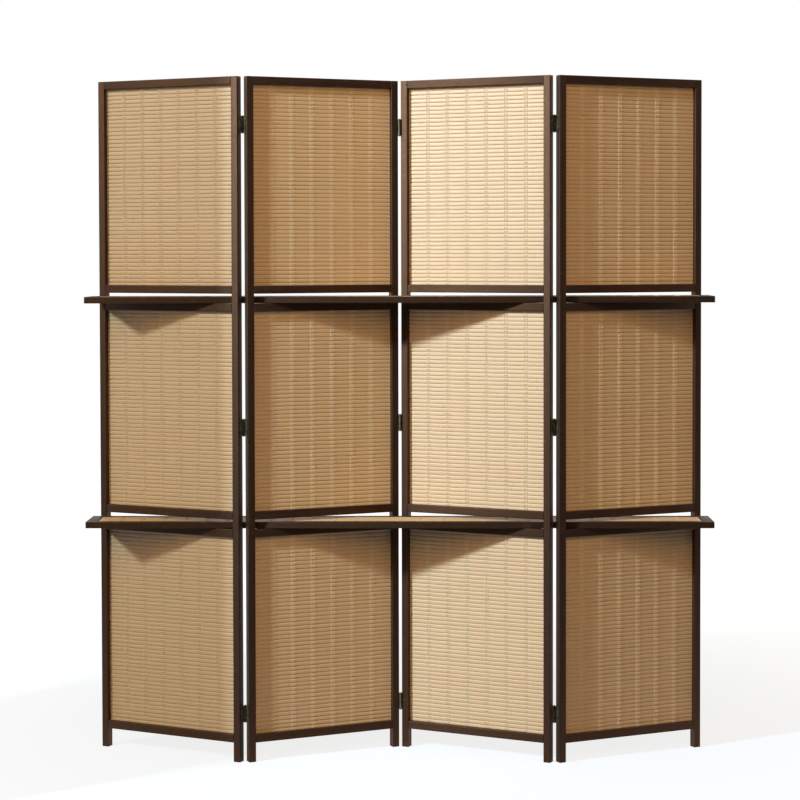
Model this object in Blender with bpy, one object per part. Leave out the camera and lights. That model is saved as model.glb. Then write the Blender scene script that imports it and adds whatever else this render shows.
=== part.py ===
"""Folding screen of four hinged panels, with two loose shelf boards threaded through slots in the panels.

Lengths are in metres and +Z is up. The screen stands on Z = 0 and faces -Y. X = 0 is the middle of the row,
and Y = 0 is halfway between the near folds and the far folds.

Each panel is first drawn flat, in its own frame: x runs along the panel from its left edge, y runs from the
front face towards the back face, and z is the height. It is then turned about its fold.
"""

import math

import bmesh
import bpy
from mathutils import Vector

# Panel frames
PANEL_WIDTH = 0.409
POST_WIDTH = 0.018
FRAME_DEPTH = 0.020
EDGE_EASE = 0.0008
LEG_HEIGHT = 0.048
BOTTOM_RAIL_HEIGHT = 0.020
TOP_RAIL_HEIGHT = 0.020
SLOT_RAIL_HEIGHT = 0.020
LOWER_OPENING_HEIGHT = 0.492
MIDDLE_OPENING_HEIGHT = 0.496
UPPER_OPENING_HEIGHT = 0.496

# Fits between pieces that touch
FIT_GAP = 0.0003
CUT_OVERRUN = 0.002

# Tenons of the panel rails, and the mortises that take them
TENON_LENGTH = 0.010
TENON_THICKNESS = 0.006
TENON_SHOULDER = 0.005

# Bamboo mats, held in a groove around each opening
MAT_THICKNESS = 0.0026
MAT_BITE = 0.0035
MAT_BACK_LIP = 0.0046
SLAT_PITCH = 0.0101
SLAT_NOTCH_WIDTH = 0.0020
SLAT_NOTCH_DEPTH = 0.0012

# Butt hinges
FOLD_ANGLE = math.radians(25.4)
HINGE_HEIGHT = 0.042
HINGE_END_DISTANCE = 0.118
HINGE_MIDDLE_HEIGHT = 0.832
KNUCKLE_COUNT = 3
LEAF_WIDTH = 0.015
LEAF_THICKNESS = 0.0012
LEAF_FREE_GAP = 0.0012
LEAF_SEAT = 0.0002
PIN_RADIUS = 0.0014
PIN_HEAD_RADIUS = 0.0023
PIN_HEAD_HEIGHT = 0.0010
KNUCKLE_WALL = 0.0012
KNUCKLE_FACE_GAP = 0.0011
KNUCKLE_SWING_GAP = 0.0006
SCREW_HOLE_RADIUS = 0.0016
SCREW_SINK_RADIUS = 0.0031
SCREW_END_DISTANCE = 0.0052
ROUND_SIDES = 12
SMALL_ROUND_SIDES = 6

# Shelf boards
BOARD_THICKNESS = 0.016
BOARD_HEADROOM = 0.0077
BOARD_EDGE_CLEARANCE = 0.0012
BOARD_END_OVERHANG = 0.0155
BOARD_LONG_RAIL_WIDTH = 0.018
BOARD_END_RAIL_WIDTH = 0.028
BOARD_TENON_LENGTH = 0.008
BOARD_TENON_SHOULDER = 0.004
BOARD_TENON_SETBACK = 0.005
BASE_THICKNESS = 0.004
BASE_BITE = 0.004
BASE_CLEAR_BELOW = 0.0085
BOARD_MAT_THICKNESS = 0.0026

# Finishes: colour, roughness, metallic
WALNUT_FINISH = ((0.060, 0.032, 0.020), 0.45, 0.0)
BAMBOO_FINISH = ((0.62, 0.40, 0.20), 0.55, 0.0)
BRONZE_FINISH = ((0.11, 0.09, 0.055), 0.40, 0.9)

# Sizes that follow from the ones above
KNUCKLE_RADIUS = PIN_RADIUS + FIT_GAP + KNUCKLE_WALL
AXIS_SETOUT = KNUCKLE_RADIUS + KNUCKLE_FACE_GAP
POST_GAP = 2 * LEAF_THICKNESS + LEAF_FREE_GAP
SLOT_HEIGHT = FIT_GAP + BOARD_THICKNESS + BOARD_HEADROOM
SLOT_STACK = SLOT_RAIL_HEIGHT + SLOT_HEIGHT + SLOT_RAIL_HEIGHT
MAT_GROOVE_WIDTH = MAT_THICKNESS + 2 * FIT_GAP
MAT_GROOVE_FRONT = FRAME_DEPTH - MAT_BACK_LIP - MAT_GROOVE_WIDTH
TENON_FRONT = (MAT_GROOVE_FRONT - TENON_THICKNESS) / 2

BOTTOM_RAIL_BASE = LEG_HEIGHT
LOWER_OPENING_BASE = BOTTOM_RAIL_BASE + BOTTOM_RAIL_HEIGHT
LOWER_STACK_BASE = LOWER_OPENING_BASE + LOWER_OPENING_HEIGHT
MIDDLE_OPENING_BASE = LOWER_STACK_BASE + SLOT_STACK
UPPER_STACK_BASE = MIDDLE_OPENING_BASE + MIDDLE_OPENING_HEIGHT
UPPER_OPENING_BASE = UPPER_STACK_BASE + SLOT_STACK
TOP_RAIL_BASE = UPPER_OPENING_BASE + UPPER_OPENING_HEIGHT
POST_HEIGHT = TOP_RAIL_BASE + TOP_RAIL_HEIGHT

# Where the folds stand, from the fold angle
FOLD_SIN = math.sin(FOLD_ANGLE)
FOLD_COS = math.cos(FOLD_ANGLE)
FOLD_PITCH_X = (PANEL_WIDTH + POST_GAP) * FOLD_COS + (FRAME_DEPTH + 2 * AXIS_SETOUT) * FOLD_SIN
FOLD_PITCH_Y = (PANEL_WIDTH + POST_GAP) * FOLD_SIN - (FRAME_DEPTH + 2 * AXIS_SETOUT) * FOLD_COS
FAR_FOLD_Y = FOLD_PITCH_Y / 2
NEAR_FOLD_Y = -FOLD_PITCH_Y / 2
POST_REACH_FOLDED = POST_WIDTH + POST_GAP / 2
POST_REACH_OPEN = POST_REACH_FOLDED * FOLD_SIN - AXIS_SETOUT * FOLD_COS
ROW_HALF_LENGTH = (
    FOLD_PITCH_X
    + (PANEL_WIDTH + POST_GAP / 2) * FOLD_COS
    + (FRAME_DEPTH + AXIS_SETOUT) * FOLD_SIN
)

# A board clears the near posts with the screen open, and the far posts right up to fully folded
BOARD_FRONT_Y = NEAR_FOLD_Y + POST_REACH_OPEN + BOARD_EDGE_CLEARANCE
BOARD_BACK_Y = FAR_FOLD_Y - POST_REACH_FOLDED - BOARD_EDGE_CLEARANCE
BOARD_DEPTH = BOARD_BACK_Y - BOARD_FRONT_Y
BOARD_CENTRE_Y = (BOARD_FRONT_Y + BOARD_BACK_Y) / 2
BOARD_LENGTH = 2 * (ROW_HALF_LENGTH + BOARD_END_OVERHANG)
BOARD_INNER_DEPTH = BOARD_DEPTH - 2 * BOARD_LONG_RAIL_WIDTH
BOARD_INNER_LENGTH = BOARD_LENGTH - 2 * BOARD_END_RAIL_WIDTH
LOWER_BOARD_BASE = LOWER_STACK_BASE + SLOT_RAIL_HEIGHT + FIT_GAP
UPPER_BOARD_BASE = UPPER_STACK_BASE + SLOT_RAIL_HEIGHT + FIT_GAP

HINGE_CENTRES = {
    "lower": HINGE_END_DISTANCE,
    "middle": HINGE_MIDDLE_HEIGHT,
    "upper": POST_HEIGHT - HINGE_END_DISTANCE,
}


def clear_scene():
    for obj in list(bpy.data.objects):
        bpy.data.objects.remove(obj, do_unlink=True)


def make_material(name, colour, roughness, metallic):
    material = bpy.data.materials.new(name)
    material.use_nodes = True
    shader = material.node_tree.nodes["Principled BSDF"]
    shader.inputs["Base Color"].default_value = (*colour, 1.0)
    shader.inputs["Roughness"].default_value = roughness
    shader.inputs["Metallic"].default_value = metallic
    return material


# Meshes

def add_box(bm, low, high):
    """A closed box between two corners."""
    corners = [
        bm.verts.new((x, y, z))
        for z in (low[2], high[2])
        for x, y in ((low[0], low[1]), (high[0], low[1]), (high[0], high[1]), (low[0], high[1]))
    ]
    bm.faces.new(corners[3::-1])
    bm.faces.new(corners[4:])
    for i in range(4):
        j = (i + 1) % 4
        bm.faces.new((corners[i], corners[j], corners[4 + j], corners[4 + i]))


def add_prism(bm, outline, place, start, end):
    """Run an outline from start to end. place(a, b, along) turns it into a point of the piece."""
    first = [bm.verts.new(place(a, b, start)) for a, b in outline]
    last = [bm.verts.new(place(a, b, end)) for a, b in outline]
    bm.faces.new(first)
    bm.faces.new(last[::-1])
    for i in range(len(outline)):
        j = (i + 1) % len(outline)
        bm.faces.new((first[i], last[i], last[j], first[j]))


def along_x(a, b, along):
    return (along, a, b)


def along_z(a, b, along):
    return (a, b, along)


def add_round(bm, radius_low, radius_high, low, high, sides):
    """A closed cylinder or cone about the z axis of its own frame."""
    rings = []
    for radius, height in ((radius_low, low), (radius_high, high)):
        rings.append([
            bm.verts.new((radius * math.cos(turn), radius * math.sin(turn), height))
            for turn in (math.tau * (i + 0.5) / sides for i in range(sides))
        ])
    bm.faces.new(rings[0][::-1])
    bm.faces.new(rings[1])
    for i in range(sides):
        j = (i + 1) % sides
        bm.faces.new((rings[0][i], rings[0][j], rings[1][j], rings[1][i]))


def eased_rectangle(width, depth, ease):
    """A rectangle from the origin with its four corners eased."""
    return [
        (ease, 0), (width - ease, 0), (width, ease), (width, depth - ease),
        (width - ease, depth), (ease, depth), (0, depth - ease), (0, ease),
    ]


def finish_mesh(bm, name):
    bmesh.ops.recalc_face_normals(bm, faces=bm.faces)
    mesh = bpy.data.meshes.new(name)
    bm.to_mesh(mesh)
    bm.free()
    return mesh


def add_object(name, mesh, materials):
    obj = bpy.data.objects.new(name, mesh)
    bpy.context.scene.collection.objects.link(obj)
    for material in materials:
        if obj.data.materials.find(material.name) < 0:
            obj.data.materials.append(material)
    return obj


def combine(body_mesh, tool_mesh, operation):
    """The mesh that a Boolean of two meshes leaves. Both are in the same frame."""
    body = bpy.data.objects.new("body", body_mesh)
    tool = bpy.data.objects.new("tool", tool_mesh)
    tool.hide_render = True
    tool.display_type = "WIRE"
    for obj in (body, tool):
        bpy.context.scene.collection.objects.link(obj)
    modifier = body.modifiers.new("combine", "BOOLEAN")
    modifier.operation = operation
    modifier.object = tool
    graph = bpy.context.evaluated_depsgraph_get()
    mesh = bpy.data.meshes.new_from_object(body.evaluated_get(graph), depsgraph=graph)
    for obj in (body, tool):
        bpy.data.objects.remove(obj, do_unlink=True)
    mesh.name = body_mesh.name
    return mesh


# Hinges

def knuckle_spans(with_outer_knuckles):
    """The heights, about the hinge's centre, that one leaf's knuckles take."""
    knuckle = HINGE_HEIGHT / KNUCKLE_COUNT
    if with_outer_knuckles:
        return [
            (-HINGE_HEIGHT / 2, -knuckle / 2 - FIT_GAP / 2),
            (knuckle / 2 + FIT_GAP / 2, HINGE_HEIGHT / 2),
        ]
    return [(-knuckle / 2 + FIT_GAP / 2, knuckle / 2 - FIT_GAP / 2)]


def leaf_mesh(side, with_outer_knuckles, holds_pin):
    """One hinge leaf. Its frame has the pin's axis on z, and the wood lies towards -y.

    side is -1 for the leaf on the post at -x and 1 for the one at +x. The plate is sunk LEAF_SEAT into the
    post that carries it.
    """
    post_face = POST_GAP / 2
    plate_xs = sorted((side * (post_face + LEAF_SEAT), side * (post_face - LEAF_THICKNESS)))
    plate_top = -(KNUCKLE_RADIUS + KNUCKLE_SWING_GAP)
    half = HINGE_HEIGHT / 2

    bm = bmesh.new()
    add_box(bm, (plate_xs[0], plate_top - LEAF_WIDTH, -half), (plate_xs[1], plate_top, half))
    plate = finish_mesh(bm, "leaf")

    tab_xs = sorted((side * post_face, side * (post_face - LEAF_THICKNESS)))
    spans = knuckle_spans(with_outer_knuckles)
    tabs = bmesh.new()
    barrels = bmesh.new()
    for low, high in spans:
        add_box(tabs, (tab_xs[0], plate_top - LEAF_SEAT, low), (tab_xs[1], 0, high))
        add_round(barrels, KNUCKLE_RADIUS, KNUCKLE_RADIUS, low, high, ROUND_SIDES)
    barrel = combine(finish_mesh(barrels, "barrels"), finish_mesh(tabs, "tabs"), "UNION")
    core = bmesh.new()
    if holds_pin:
        low, high = spans[0][1] - PIN_RADIUS, spans[-1][0] + PIN_RADIUS
        add_round(core, PIN_RADIUS, PIN_RADIUS, low, high, SMALL_ROUND_SIDES)
    else:
        for low, high in spans:
            add_round(core, PIN_RADIUS + FIT_GAP, PIN_RADIUS + FIT_GAP,
                      low - FIT_GAP / 2, high + FIT_GAP / 2, SMALL_ROUND_SIDES)
    barrel = combine(barrel, finish_mesh(core, "core"), "UNION" if holds_pin else "DIFFERENCE")
    leaf = combine(plate, barrel, "UNION")

    # Countersunk holes, near the plate's ends and on its middle line
    sinks = bmesh.new()
    for end in (-1, 1):
        sink = bmesh.new()
        add_round(sink, SCREW_HOLE_RADIUS, SCREW_SINK_RADIUS, 0, LEAF_THICKNESS + FIT_GAP, SMALL_ROUND_SIDES)
        centre = (end * (half - SCREW_END_DISTANCE), plate_top - LEAF_WIDTH / 2)
        for vert in sink.verts:
            out = post_face - vert.co.z
            vert.co = Vector((side * out, centre[1] + vert.co.y, centre[0] + vert.co.x))
        piece = finish_mesh(sink, "sink")
        sinks.from_mesh(piece)
    return combine(leaf, finish_mesh(sinks, "sinks"), "DIFFERENCE")


def pin_mesh():
    """A loose hinge pin with a head at each end, about its own centre."""
    reach = HINGE_HEIGHT / 2 + FIT_GAP
    shaft_end = reach + PIN_HEAD_HEIGHT / 2
    bm = bmesh.new()
    add_round(bm, PIN_RADIUS, PIN_RADIUS, -shaft_end, shaft_end, SMALL_ROUND_SIDES)
    shaft = finish_mesh(bm, "hinge_pin")
    bm = bmesh.new()
    for end in (-1, 1):
        inner, outer = sorted((end * reach, end * (reach + PIN_HEAD_HEIGHT)))
        radii = (PIN_HEAD_RADIUS, PIN_RADIUS) if end > 0 else (PIN_RADIUS, PIN_HEAD_RADIUS)
        add_round(bm, *radii, inner, outer, SMALL_ROUND_SIDES)
    return combine(shaft, finish_mesh(bm, "heads"), "UNION")


# Panel pieces

RAILS = {
    "top_rail": (TOP_RAIL_BASE, TOP_RAIL_HEIGHT, -1),
    "upper_slot_top_rail": (UPPER_STACK_BASE + SLOT_RAIL_HEIGHT + SLOT_HEIGHT, SLOT_RAIL_HEIGHT, 1),
    "upper_slot_bottom_rail": (UPPER_STACK_BASE, SLOT_RAIL_HEIGHT, -1),
    "lower_slot_top_rail": (LOWER_STACK_BASE + SLOT_RAIL_HEIGHT + SLOT_HEIGHT, SLOT_RAIL_HEIGHT, 1),
    "lower_slot_bottom_rail": (LOWER_STACK_BASE, SLOT_RAIL_HEIGHT, -1),
    "bottom_rail": (BOTTOM_RAIL_BASE, BOTTOM_RAIL_HEIGHT, 1),
}

OPENINGS = {
    "upper_mat": (UPPER_OPENING_BASE, UPPER_OPENING_HEIGHT),
    "middle_mat": (MIDDLE_OPENING_BASE, MIDDLE_OPENING_HEIGHT),
    "lower_mat": (LOWER_OPENING_BASE, LOWER_OPENING_HEIGHT),
}


def rail_mesh(name, base, height, groove_side):
    """A rail between the posts, with a tenon at each end and the mat's groove along one edge.

    groove_side is 1 for a groove in the top edge and -1 for one in the bottom edge.
    """
    depth = MAT_BITE + FIT_GAP
    back = MAT_GROOVE_FRONT + MAT_GROOVE_WIDTH
    outline = [
        (EDGE_EASE, 0), (FRAME_DEPTH - EDGE_EASE, 0), (FRAME_DEPTH, EDGE_EASE),
        (FRAME_DEPTH, height - EDGE_EASE), (FRAME_DEPTH - EDGE_EASE, height),
        (back, height), (back, height - depth),
        (MAT_GROOVE_FRONT, height - depth), (MAT_GROOVE_FRONT, height),
        (EDGE_EASE, height), (0, height - EDGE_EASE), (0, EDGE_EASE),
    ]
    if groove_side < 0:
        outline = [(y, height - z) for y, z in outline]
    outline = [(y, base + z) for y, z in outline]
    bm = bmesh.new()
    add_prism(bm, outline, along_x, POST_WIDTH + FIT_GAP, PANEL_WIDTH - POST_WIDTH - FIT_GAP)
    rail = finish_mesh(bm, name)
    tenon = bmesh.new()
    add_box(
        tenon,
        (POST_WIDTH - TENON_LENGTH, TENON_FRONT, base + TENON_SHOULDER),
        (PANEL_WIDTH - POST_WIDTH + TENON_LENGTH, TENON_FRONT + TENON_THICKNESS, base + height - TENON_SHOULDER),
    )
    return combine(rail, finish_mesh(tenon, "tenon"), "UNION")


def slatted_edge(length, thickness, pitch):
    """The outline of a mat across its slats: a flat back, and a front with a notch between every two slats.

    Points are (distance across the slats, distance behind the mat's front).
    """
    count = round(length / pitch)
    step = length / count
    points = [(0, 0)]
    for i in range(1, count):
        seam = i * step
        points.append((seam - SLAT_NOTCH_WIDTH / 2, 0))
        points.append((seam, SLAT_NOTCH_DEPTH))
        points.append((seam + SLAT_NOTCH_WIDTH / 2, 0))
    points += [(length, 0), (length, thickness), (0, thickness)]
    return points


def mat_mesh(name, base, height):
    """A mat of horizontal bamboo slats that reaches into the grooves on all four sides."""
    front = MAT_GROOVE_FRONT + FIT_GAP
    edge = slatted_edge(height + 2 * MAT_BITE, MAT_THICKNESS, SLAT_PITCH)
    outline = [(front + behind, base - MAT_BITE + up) for up, behind in edge]
    bm = bmesh.new()
    add_prism(bm, outline, along_x, POST_WIDTH - MAT_BITE, PANEL_WIDTH - POST_WIDTH + MAT_BITE)
    return finish_mesh(bm, name)


def post_mesh(name, is_left):
    """A post with its mortises and its mat grooves, in the panel's frame."""
    left = 0 if is_left else PANEL_WIDTH - POST_WIDTH
    inner = POST_WIDTH if is_left else PANEL_WIDTH - POST_WIDTH
    inward = 1 if is_left else -1
    bm = bmesh.new()
    outline = [(left + x, y) for x, y in eased_rectangle(POST_WIDTH, FRAME_DEPTH, EDGE_EASE)]
    add_prism(bm, outline, along_z, 0, POST_HEIGHT)
    post = finish_mesh(bm, name)

    cuts = bmesh.new()
    for base, height, _ in RAILS.values():
        xs = sorted((inner + inward * CUT_OVERRUN, inner - inward * (TENON_LENGTH + FIT_GAP)))
        add_box(
            cuts,
            (xs[0], TENON_FRONT - FIT_GAP, base + TENON_SHOULDER - FIT_GAP),
            (xs[1], TENON_FRONT + TENON_THICKNESS + FIT_GAP, base + height - TENON_SHOULDER + FIT_GAP),
        )
    for base, height in OPENINGS.values():
        xs = sorted((inner + inward * CUT_OVERRUN, inner - inward * (MAT_BITE + FIT_GAP)))
        add_box(
            cuts,
            (xs[0], MAT_GROOVE_FRONT, base - MAT_BITE - FIT_GAP),
            (xs[1], MAT_GROOVE_FRONT + MAT_GROOVE_WIDTH, base + height + MAT_BITE + FIT_GAP),
        )
    return combine(post, finish_mesh(cuts, "cuts"), "DIFFERENCE")


def hinge_leaves(fold_x, axis_y, side, with_outer_knuckles, holds_pin):
    """The three leaves on one post, in the panel's frame. axis_y is the pins' place behind the front face."""
    is_far = axis_y < 0
    facing = -1 if is_far else 1
    leaf = leaf_mesh(facing * side, with_outer_knuckles, holds_pin)
    joined = bmesh.new()
    for centre in HINGE_CENTRES.values():
        copy = bmesh.new()
        copy.from_mesh(leaf)
        for vert in copy.verts:
            vert.co = Vector((fold_x + facing * vert.co.x, axis_y + facing * vert.co.y, centre + vert.co.z))
        for face in copy.faces:
            face.material_index = 1
        placed = bpy.data.meshes.new("leaf")
        copy.to_mesh(placed)
        copy.free()
        joined.from_mesh(placed)
    mesh = bpy.data.meshes.new("leaves")
    joined.to_mesh(mesh)
    joined.free()
    return mesh


NEAR_AXIS_Y = FRAME_DEPTH + AXIS_SETOUT
FAR_AXIS_Y = -AXIS_SETOUT
RIGHT_AXIS_X = PANEL_WIDTH + POST_GAP / 2
LEFT_AXIS_X = -POST_GAP / 2

# Each post's hinge leaves: the fold's place in the panel's frame, the side of the pin that the post is on,
# whether its leaf has the two outer knuckles, and whether the pin is fast in it
POST_HINGES = {
    (1, "right"): (RIGHT_AXIS_X, NEAR_AXIS_Y, -1, False, False),
    (2, "left"): (LEFT_AXIS_X, NEAR_AXIS_Y, 1, True, True),
    (2, "right"): (RIGHT_AXIS_X, FAR_AXIS_Y, -1, True, False),
    (3, "left"): (LEFT_AXIS_X, FAR_AXIS_Y, 1, False, False),
    (3, "right"): (RIGHT_AXIS_X, NEAR_AXIS_Y, -1, True, True),
    (4, "left"): (LEFT_AXIS_X, NEAR_AXIS_Y, 1, False, False),
}

# Each panel's own fold: the axis that its empty stands on, in the panel's frame and in the row, and the way
# that the panel turns
PANEL_FOLDS = {
    1: ((RIGHT_AXIS_X, NEAR_AXIS_Y), (-FOLD_PITCH_X, NEAR_FOLD_Y), -1),
    2: ((RIGHT_AXIS_X, FAR_AXIS_Y), (0, FAR_FOLD_Y), 1),
    3: ((LEFT_AXIS_X, FAR_AXIS_Y), (0, FAR_FOLD_Y), -1),
    4: ((LEFT_AXIS_X, NEAR_AXIS_Y), (FOLD_PITCH_X, NEAR_FOLD_Y), 1),
}


def build_panels(wood, bamboo, bronze):
    shared = {name: rail_mesh(name, *sizes) for name, sizes in RAILS.items()}
    shared.update({name: mat_mesh(name, *sizes) for name, sizes in OPENINGS.items()})
    posts = {side: post_mesh(f"{side}_post", side == "left") for side in ("left", "right")}
    for number, (axis, place, turn) in PANEL_FOLDS.items():
        fold = bpy.data.objects.new(f"panel_{number}_fold", None)
        bpy.context.scene.collection.objects.link(fold)
        fold.location = (*place, 0)
        fold.rotation_euler = (0, 0, turn * FOLD_ANGLE)
        pieces = []
        for side, post in posts.items():
            mesh = post.copy()
            for material in (wood, bronze):
                mesh.materials.append(material)
            if (number, side) in POST_HINGES:
                mesh = combine(mesh, hinge_leaves(*POST_HINGES[number, side]), "UNION")
            pieces.append(add_object(f"panel_{number}_{side}_post", mesh, (wood, bronze)))
        for name, mesh in shared.items():
            finish = bamboo if name in OPENINGS else wood
            pieces.append(add_object(f"panel_{number}_{name}", mesh, (finish,)))
        for piece in pieces:
            piece.parent = fold
            piece.location = (-axis[0], -axis[1], 0)


def build_middle_pins(bronze):
    mesh = pin_mesh()
    carrier = bpy.data.objects.new("middle_fold_axis", None)
    bpy.context.scene.collection.objects.link(carrier)
    carrier.location = (0, FAR_FOLD_Y, 0)
    for name, centre in HINGE_CENTRES.items():
        pin = add_object(f"middle_fold_{name}_pin", mesh, (bronze,))
        pin.parent = carrier
        pin.location = (0, 0, centre)


# Shelf boards. A board's frame has its origin at the middle of its underside.

def long_rail_mesh(name, facing):
    """A board's front rail (facing -1) or back rail (facing 1), with the base's groove and two mortises."""
    inner = BOARD_DEPTH / 2 - BOARD_LONG_RAIL_WIDTH
    outline = [(facing * (inner + y), z)
               for y, z in eased_rectangle(BOARD_LONG_RAIL_WIDTH, BOARD_THICKNESS, EDGE_EASE)]
    bm = bmesh.new()
    add_prism(bm, outline, along_x, -BOARD_LENGTH / 2, BOARD_LENGTH / 2)
    rail = finish_mesh(bm, name)
    cuts = bmesh.new()
    groove_reach = BOARD_INNER_LENGTH / 2 + BASE_BITE + FIT_GAP
    groove_ys = sorted((facing * (inner - CUT_OVERRUN), facing * (inner + BASE_BITE + FIT_GAP)))
    add_box(
        cuts,
        (-groove_reach, groove_ys[0], BASE_CLEAR_BELOW - FIT_GAP),
        (groove_reach, groove_ys[1], BASE_CLEAR_BELOW + BASE_THICKNESS + FIT_GAP),
    )
    for end in (-1, 1):
        xs, zs = end_tenon(end)
        ys = sorted((facing * (inner - CUT_OVERRUN), facing * (inner + BOARD_TENON_LENGTH + FIT_GAP)))
        add_box(
            cuts,
            (xs[0] - FIT_GAP, ys[0], zs[0] - FIT_GAP),
            (xs[1] + FIT_GAP, ys[1], zs[1] + FIT_GAP),
        )
    return combine(rail, finish_mesh(cuts, "cuts"), "DIFFERENCE")


def end_tenon(end):
    """The extent along x and z of the tenons of the end rail at one end (-1 or 1)."""
    outer = BOARD_LENGTH / 2 - BOARD_TENON_SETBACK
    inner = BOARD_LENGTH / 2 - BOARD_END_RAIL_WIDTH + BASE_BITE + BOARD_TENON_SETBACK
    return sorted((end * outer, end * inner)), (BOARD_TENON_SHOULDER, BOARD_THICKNESS - BOARD_TENON_SHOULDER)


def end_rail_mesh(name, end):
    """An end rail between the long rails, tenoned into both and grooved for the base."""
    outer = BOARD_LENGTH / 2
    inner = outer - BOARD_END_RAIL_WIDTH
    groove = inner + BASE_BITE + FIT_GAP
    low = BASE_CLEAR_BELOW - FIT_GAP
    high = BASE_CLEAR_BELOW + BASE_THICKNESS + FIT_GAP
    outline = [
        (inner + EDGE_EASE, 0), (outer - EDGE_EASE, 0), (outer, EDGE_EASE),
        (outer, BOARD_THICKNESS - EDGE_EASE), (outer - EDGE_EASE, BOARD_THICKNESS),
        (inner + EDGE_EASE, BOARD_THICKNESS), (inner, BOARD_THICKNESS - EDGE_EASE),
        (inner, high), (groove, high), (groove, low), (inner, low), (inner, EDGE_EASE),
    ]
    outline = [(end * x, z) for x, z in outline]
    half = BOARD_INNER_DEPTH / 2
    bm = bmesh.new()
    add_prism(bm, outline, lambda a, b, along: (a, along, b), -half + FIT_GAP, half - FIT_GAP)
    rail = finish_mesh(bm, name)
    xs, zs = end_tenon(end)
    reach = half + BOARD_TENON_LENGTH
    tenon = bmesh.new()
    add_box(tenon, (xs[0], -reach, zs[0]), (xs[1], reach, zs[1]))
    return combine(rail, finish_mesh(tenon, "tenon"), "UNION")


def base_mesh():
    bm = bmesh.new()
    reach_x = BOARD_INNER_LENGTH / 2 + BASE_BITE
    reach_y = BOARD_INNER_DEPTH / 2 + BASE_BITE
    add_box(bm, (-reach_x, -reach_y, BASE_CLEAR_BELOW), (reach_x, reach_y, BASE_CLEAR_BELOW + BASE_THICKNESS))
    return finish_mesh(bm, "board_base")


def board_mat_mesh():
    """The board's mat: the same slats as in the panels, running along the board."""
    depth = BOARD_INNER_DEPTH - 2 * FIT_GAP
    underside = BASE_CLEAR_BELOW + BASE_THICKNESS + FIT_GAP
    top = underside + BOARD_MAT_THICKNESS
    outline = [(across - depth / 2, top - down)
               for across, down in slatted_edge(depth, BOARD_MAT_THICKNESS, SLAT_PITCH)]
    reach = BOARD_INNER_LENGTH / 2 - FIT_GAP
    bm = bmesh.new()
    add_prism(bm, outline, along_x, -reach, reach)
    return finish_mesh(bm, "board_mat")


def build_boards(wood, bamboo):
    pieces = {
        "front_rail": (long_rail_mesh("front_rail", -1), wood),
        "back_rail": (long_rail_mesh("back_rail", 1), wood),
        "left_end_rail": (end_rail_mesh("left_end_rail", -1), wood),
        "right_end_rail": (end_rail_mesh("right_end_rail", 1), wood),
        "base_panel": (base_mesh(), wood),
        "mat": (board_mat_mesh(), bamboo),
    }
    for level, base in (("upper", UPPER_BOARD_BASE), ("lower", LOWER_BOARD_BASE)):
        slide = bpy.data.objects.new(f"{level}_shelf_slide", None)
        bpy.context.scene.collection.objects.link(slide)
        slide.location = (0, BOARD_CENTRE_Y, base)
        for name, (mesh, material) in pieces.items():
            piece = add_object(f"{level}_shelf_{name}", mesh, (material,))
            piece.parent = slide


def main():
    clear_scene()
    wood = make_material("walnut_stained_wood", *WALNUT_FINISH)
    bamboo = make_material("bamboo_slats", *BAMBOO_FINISH)
    bronze = make_material("antique_bronze", *BRONZE_FINISH)
    build_panels(wood, bamboo, bronze)
    build_middle_pins(bronze)
    build_boards(wood, bamboo)
    print(f"post height {POST_HEIGHT:.4f}, row half length {ROW_HALF_LENGTH:.4f}")
    print(f"fold pitch {FOLD_PITCH_X:.5f} {FOLD_PITCH_Y:.5f}, board {BOARD_LENGTH:.4f} x {BOARD_DEPTH:.4f}")
    print(f"board y {BOARD_FRONT_Y:.5f} {BOARD_BACK_Y:.5f}, bases {LOWER_BOARD_BASE:.4f} {UPPER_BOARD_BASE:.4f}")


main()
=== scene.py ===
# %% [markdown]
# # A folding screen with two shelf boards
#
# The real object has four walnut-stained frames, hinged into a zigzag. Each frame holds three mats of
# bamboo slats, and two long shelf boards are threaded through slots in all four frames. The packed CAD
# model gives every place and every moving body. This lesson dresses it: rounded wood, woven mats, rolled
# hinge leaves and the screws in them, each with a material worked out from nodes.

# %% Load the frame
import math
import random

import bmesh
import bpy
from mathutils import Matrix, Vector


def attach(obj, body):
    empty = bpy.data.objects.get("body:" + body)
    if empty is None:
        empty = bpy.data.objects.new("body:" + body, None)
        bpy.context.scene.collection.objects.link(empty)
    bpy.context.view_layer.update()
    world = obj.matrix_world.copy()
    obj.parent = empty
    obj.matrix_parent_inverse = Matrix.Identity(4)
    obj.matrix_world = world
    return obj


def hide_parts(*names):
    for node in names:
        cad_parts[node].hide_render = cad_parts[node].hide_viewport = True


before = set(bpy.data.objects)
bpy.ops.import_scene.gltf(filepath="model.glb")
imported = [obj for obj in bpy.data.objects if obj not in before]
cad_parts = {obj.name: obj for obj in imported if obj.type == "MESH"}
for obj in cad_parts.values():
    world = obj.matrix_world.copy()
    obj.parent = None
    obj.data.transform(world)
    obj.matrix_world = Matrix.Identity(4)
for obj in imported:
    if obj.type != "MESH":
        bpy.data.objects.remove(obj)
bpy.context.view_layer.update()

# %% [markdown]
# ## Sizes
#
# The same named lengths as in the CAD source, in metres. A panel is first thought of as lying flat in its
# own frame: x runs along it from its left edge, y from its front face to its back face, and z is the
# height.

# %% Sizes of the screen
PANEL_WIDTH = 0.409
POST_WIDTH = 0.018
FRAME_DEPTH = 0.020
POST_HEIGHT = 1.700
RAIL_HEIGHT = 0.020
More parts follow.
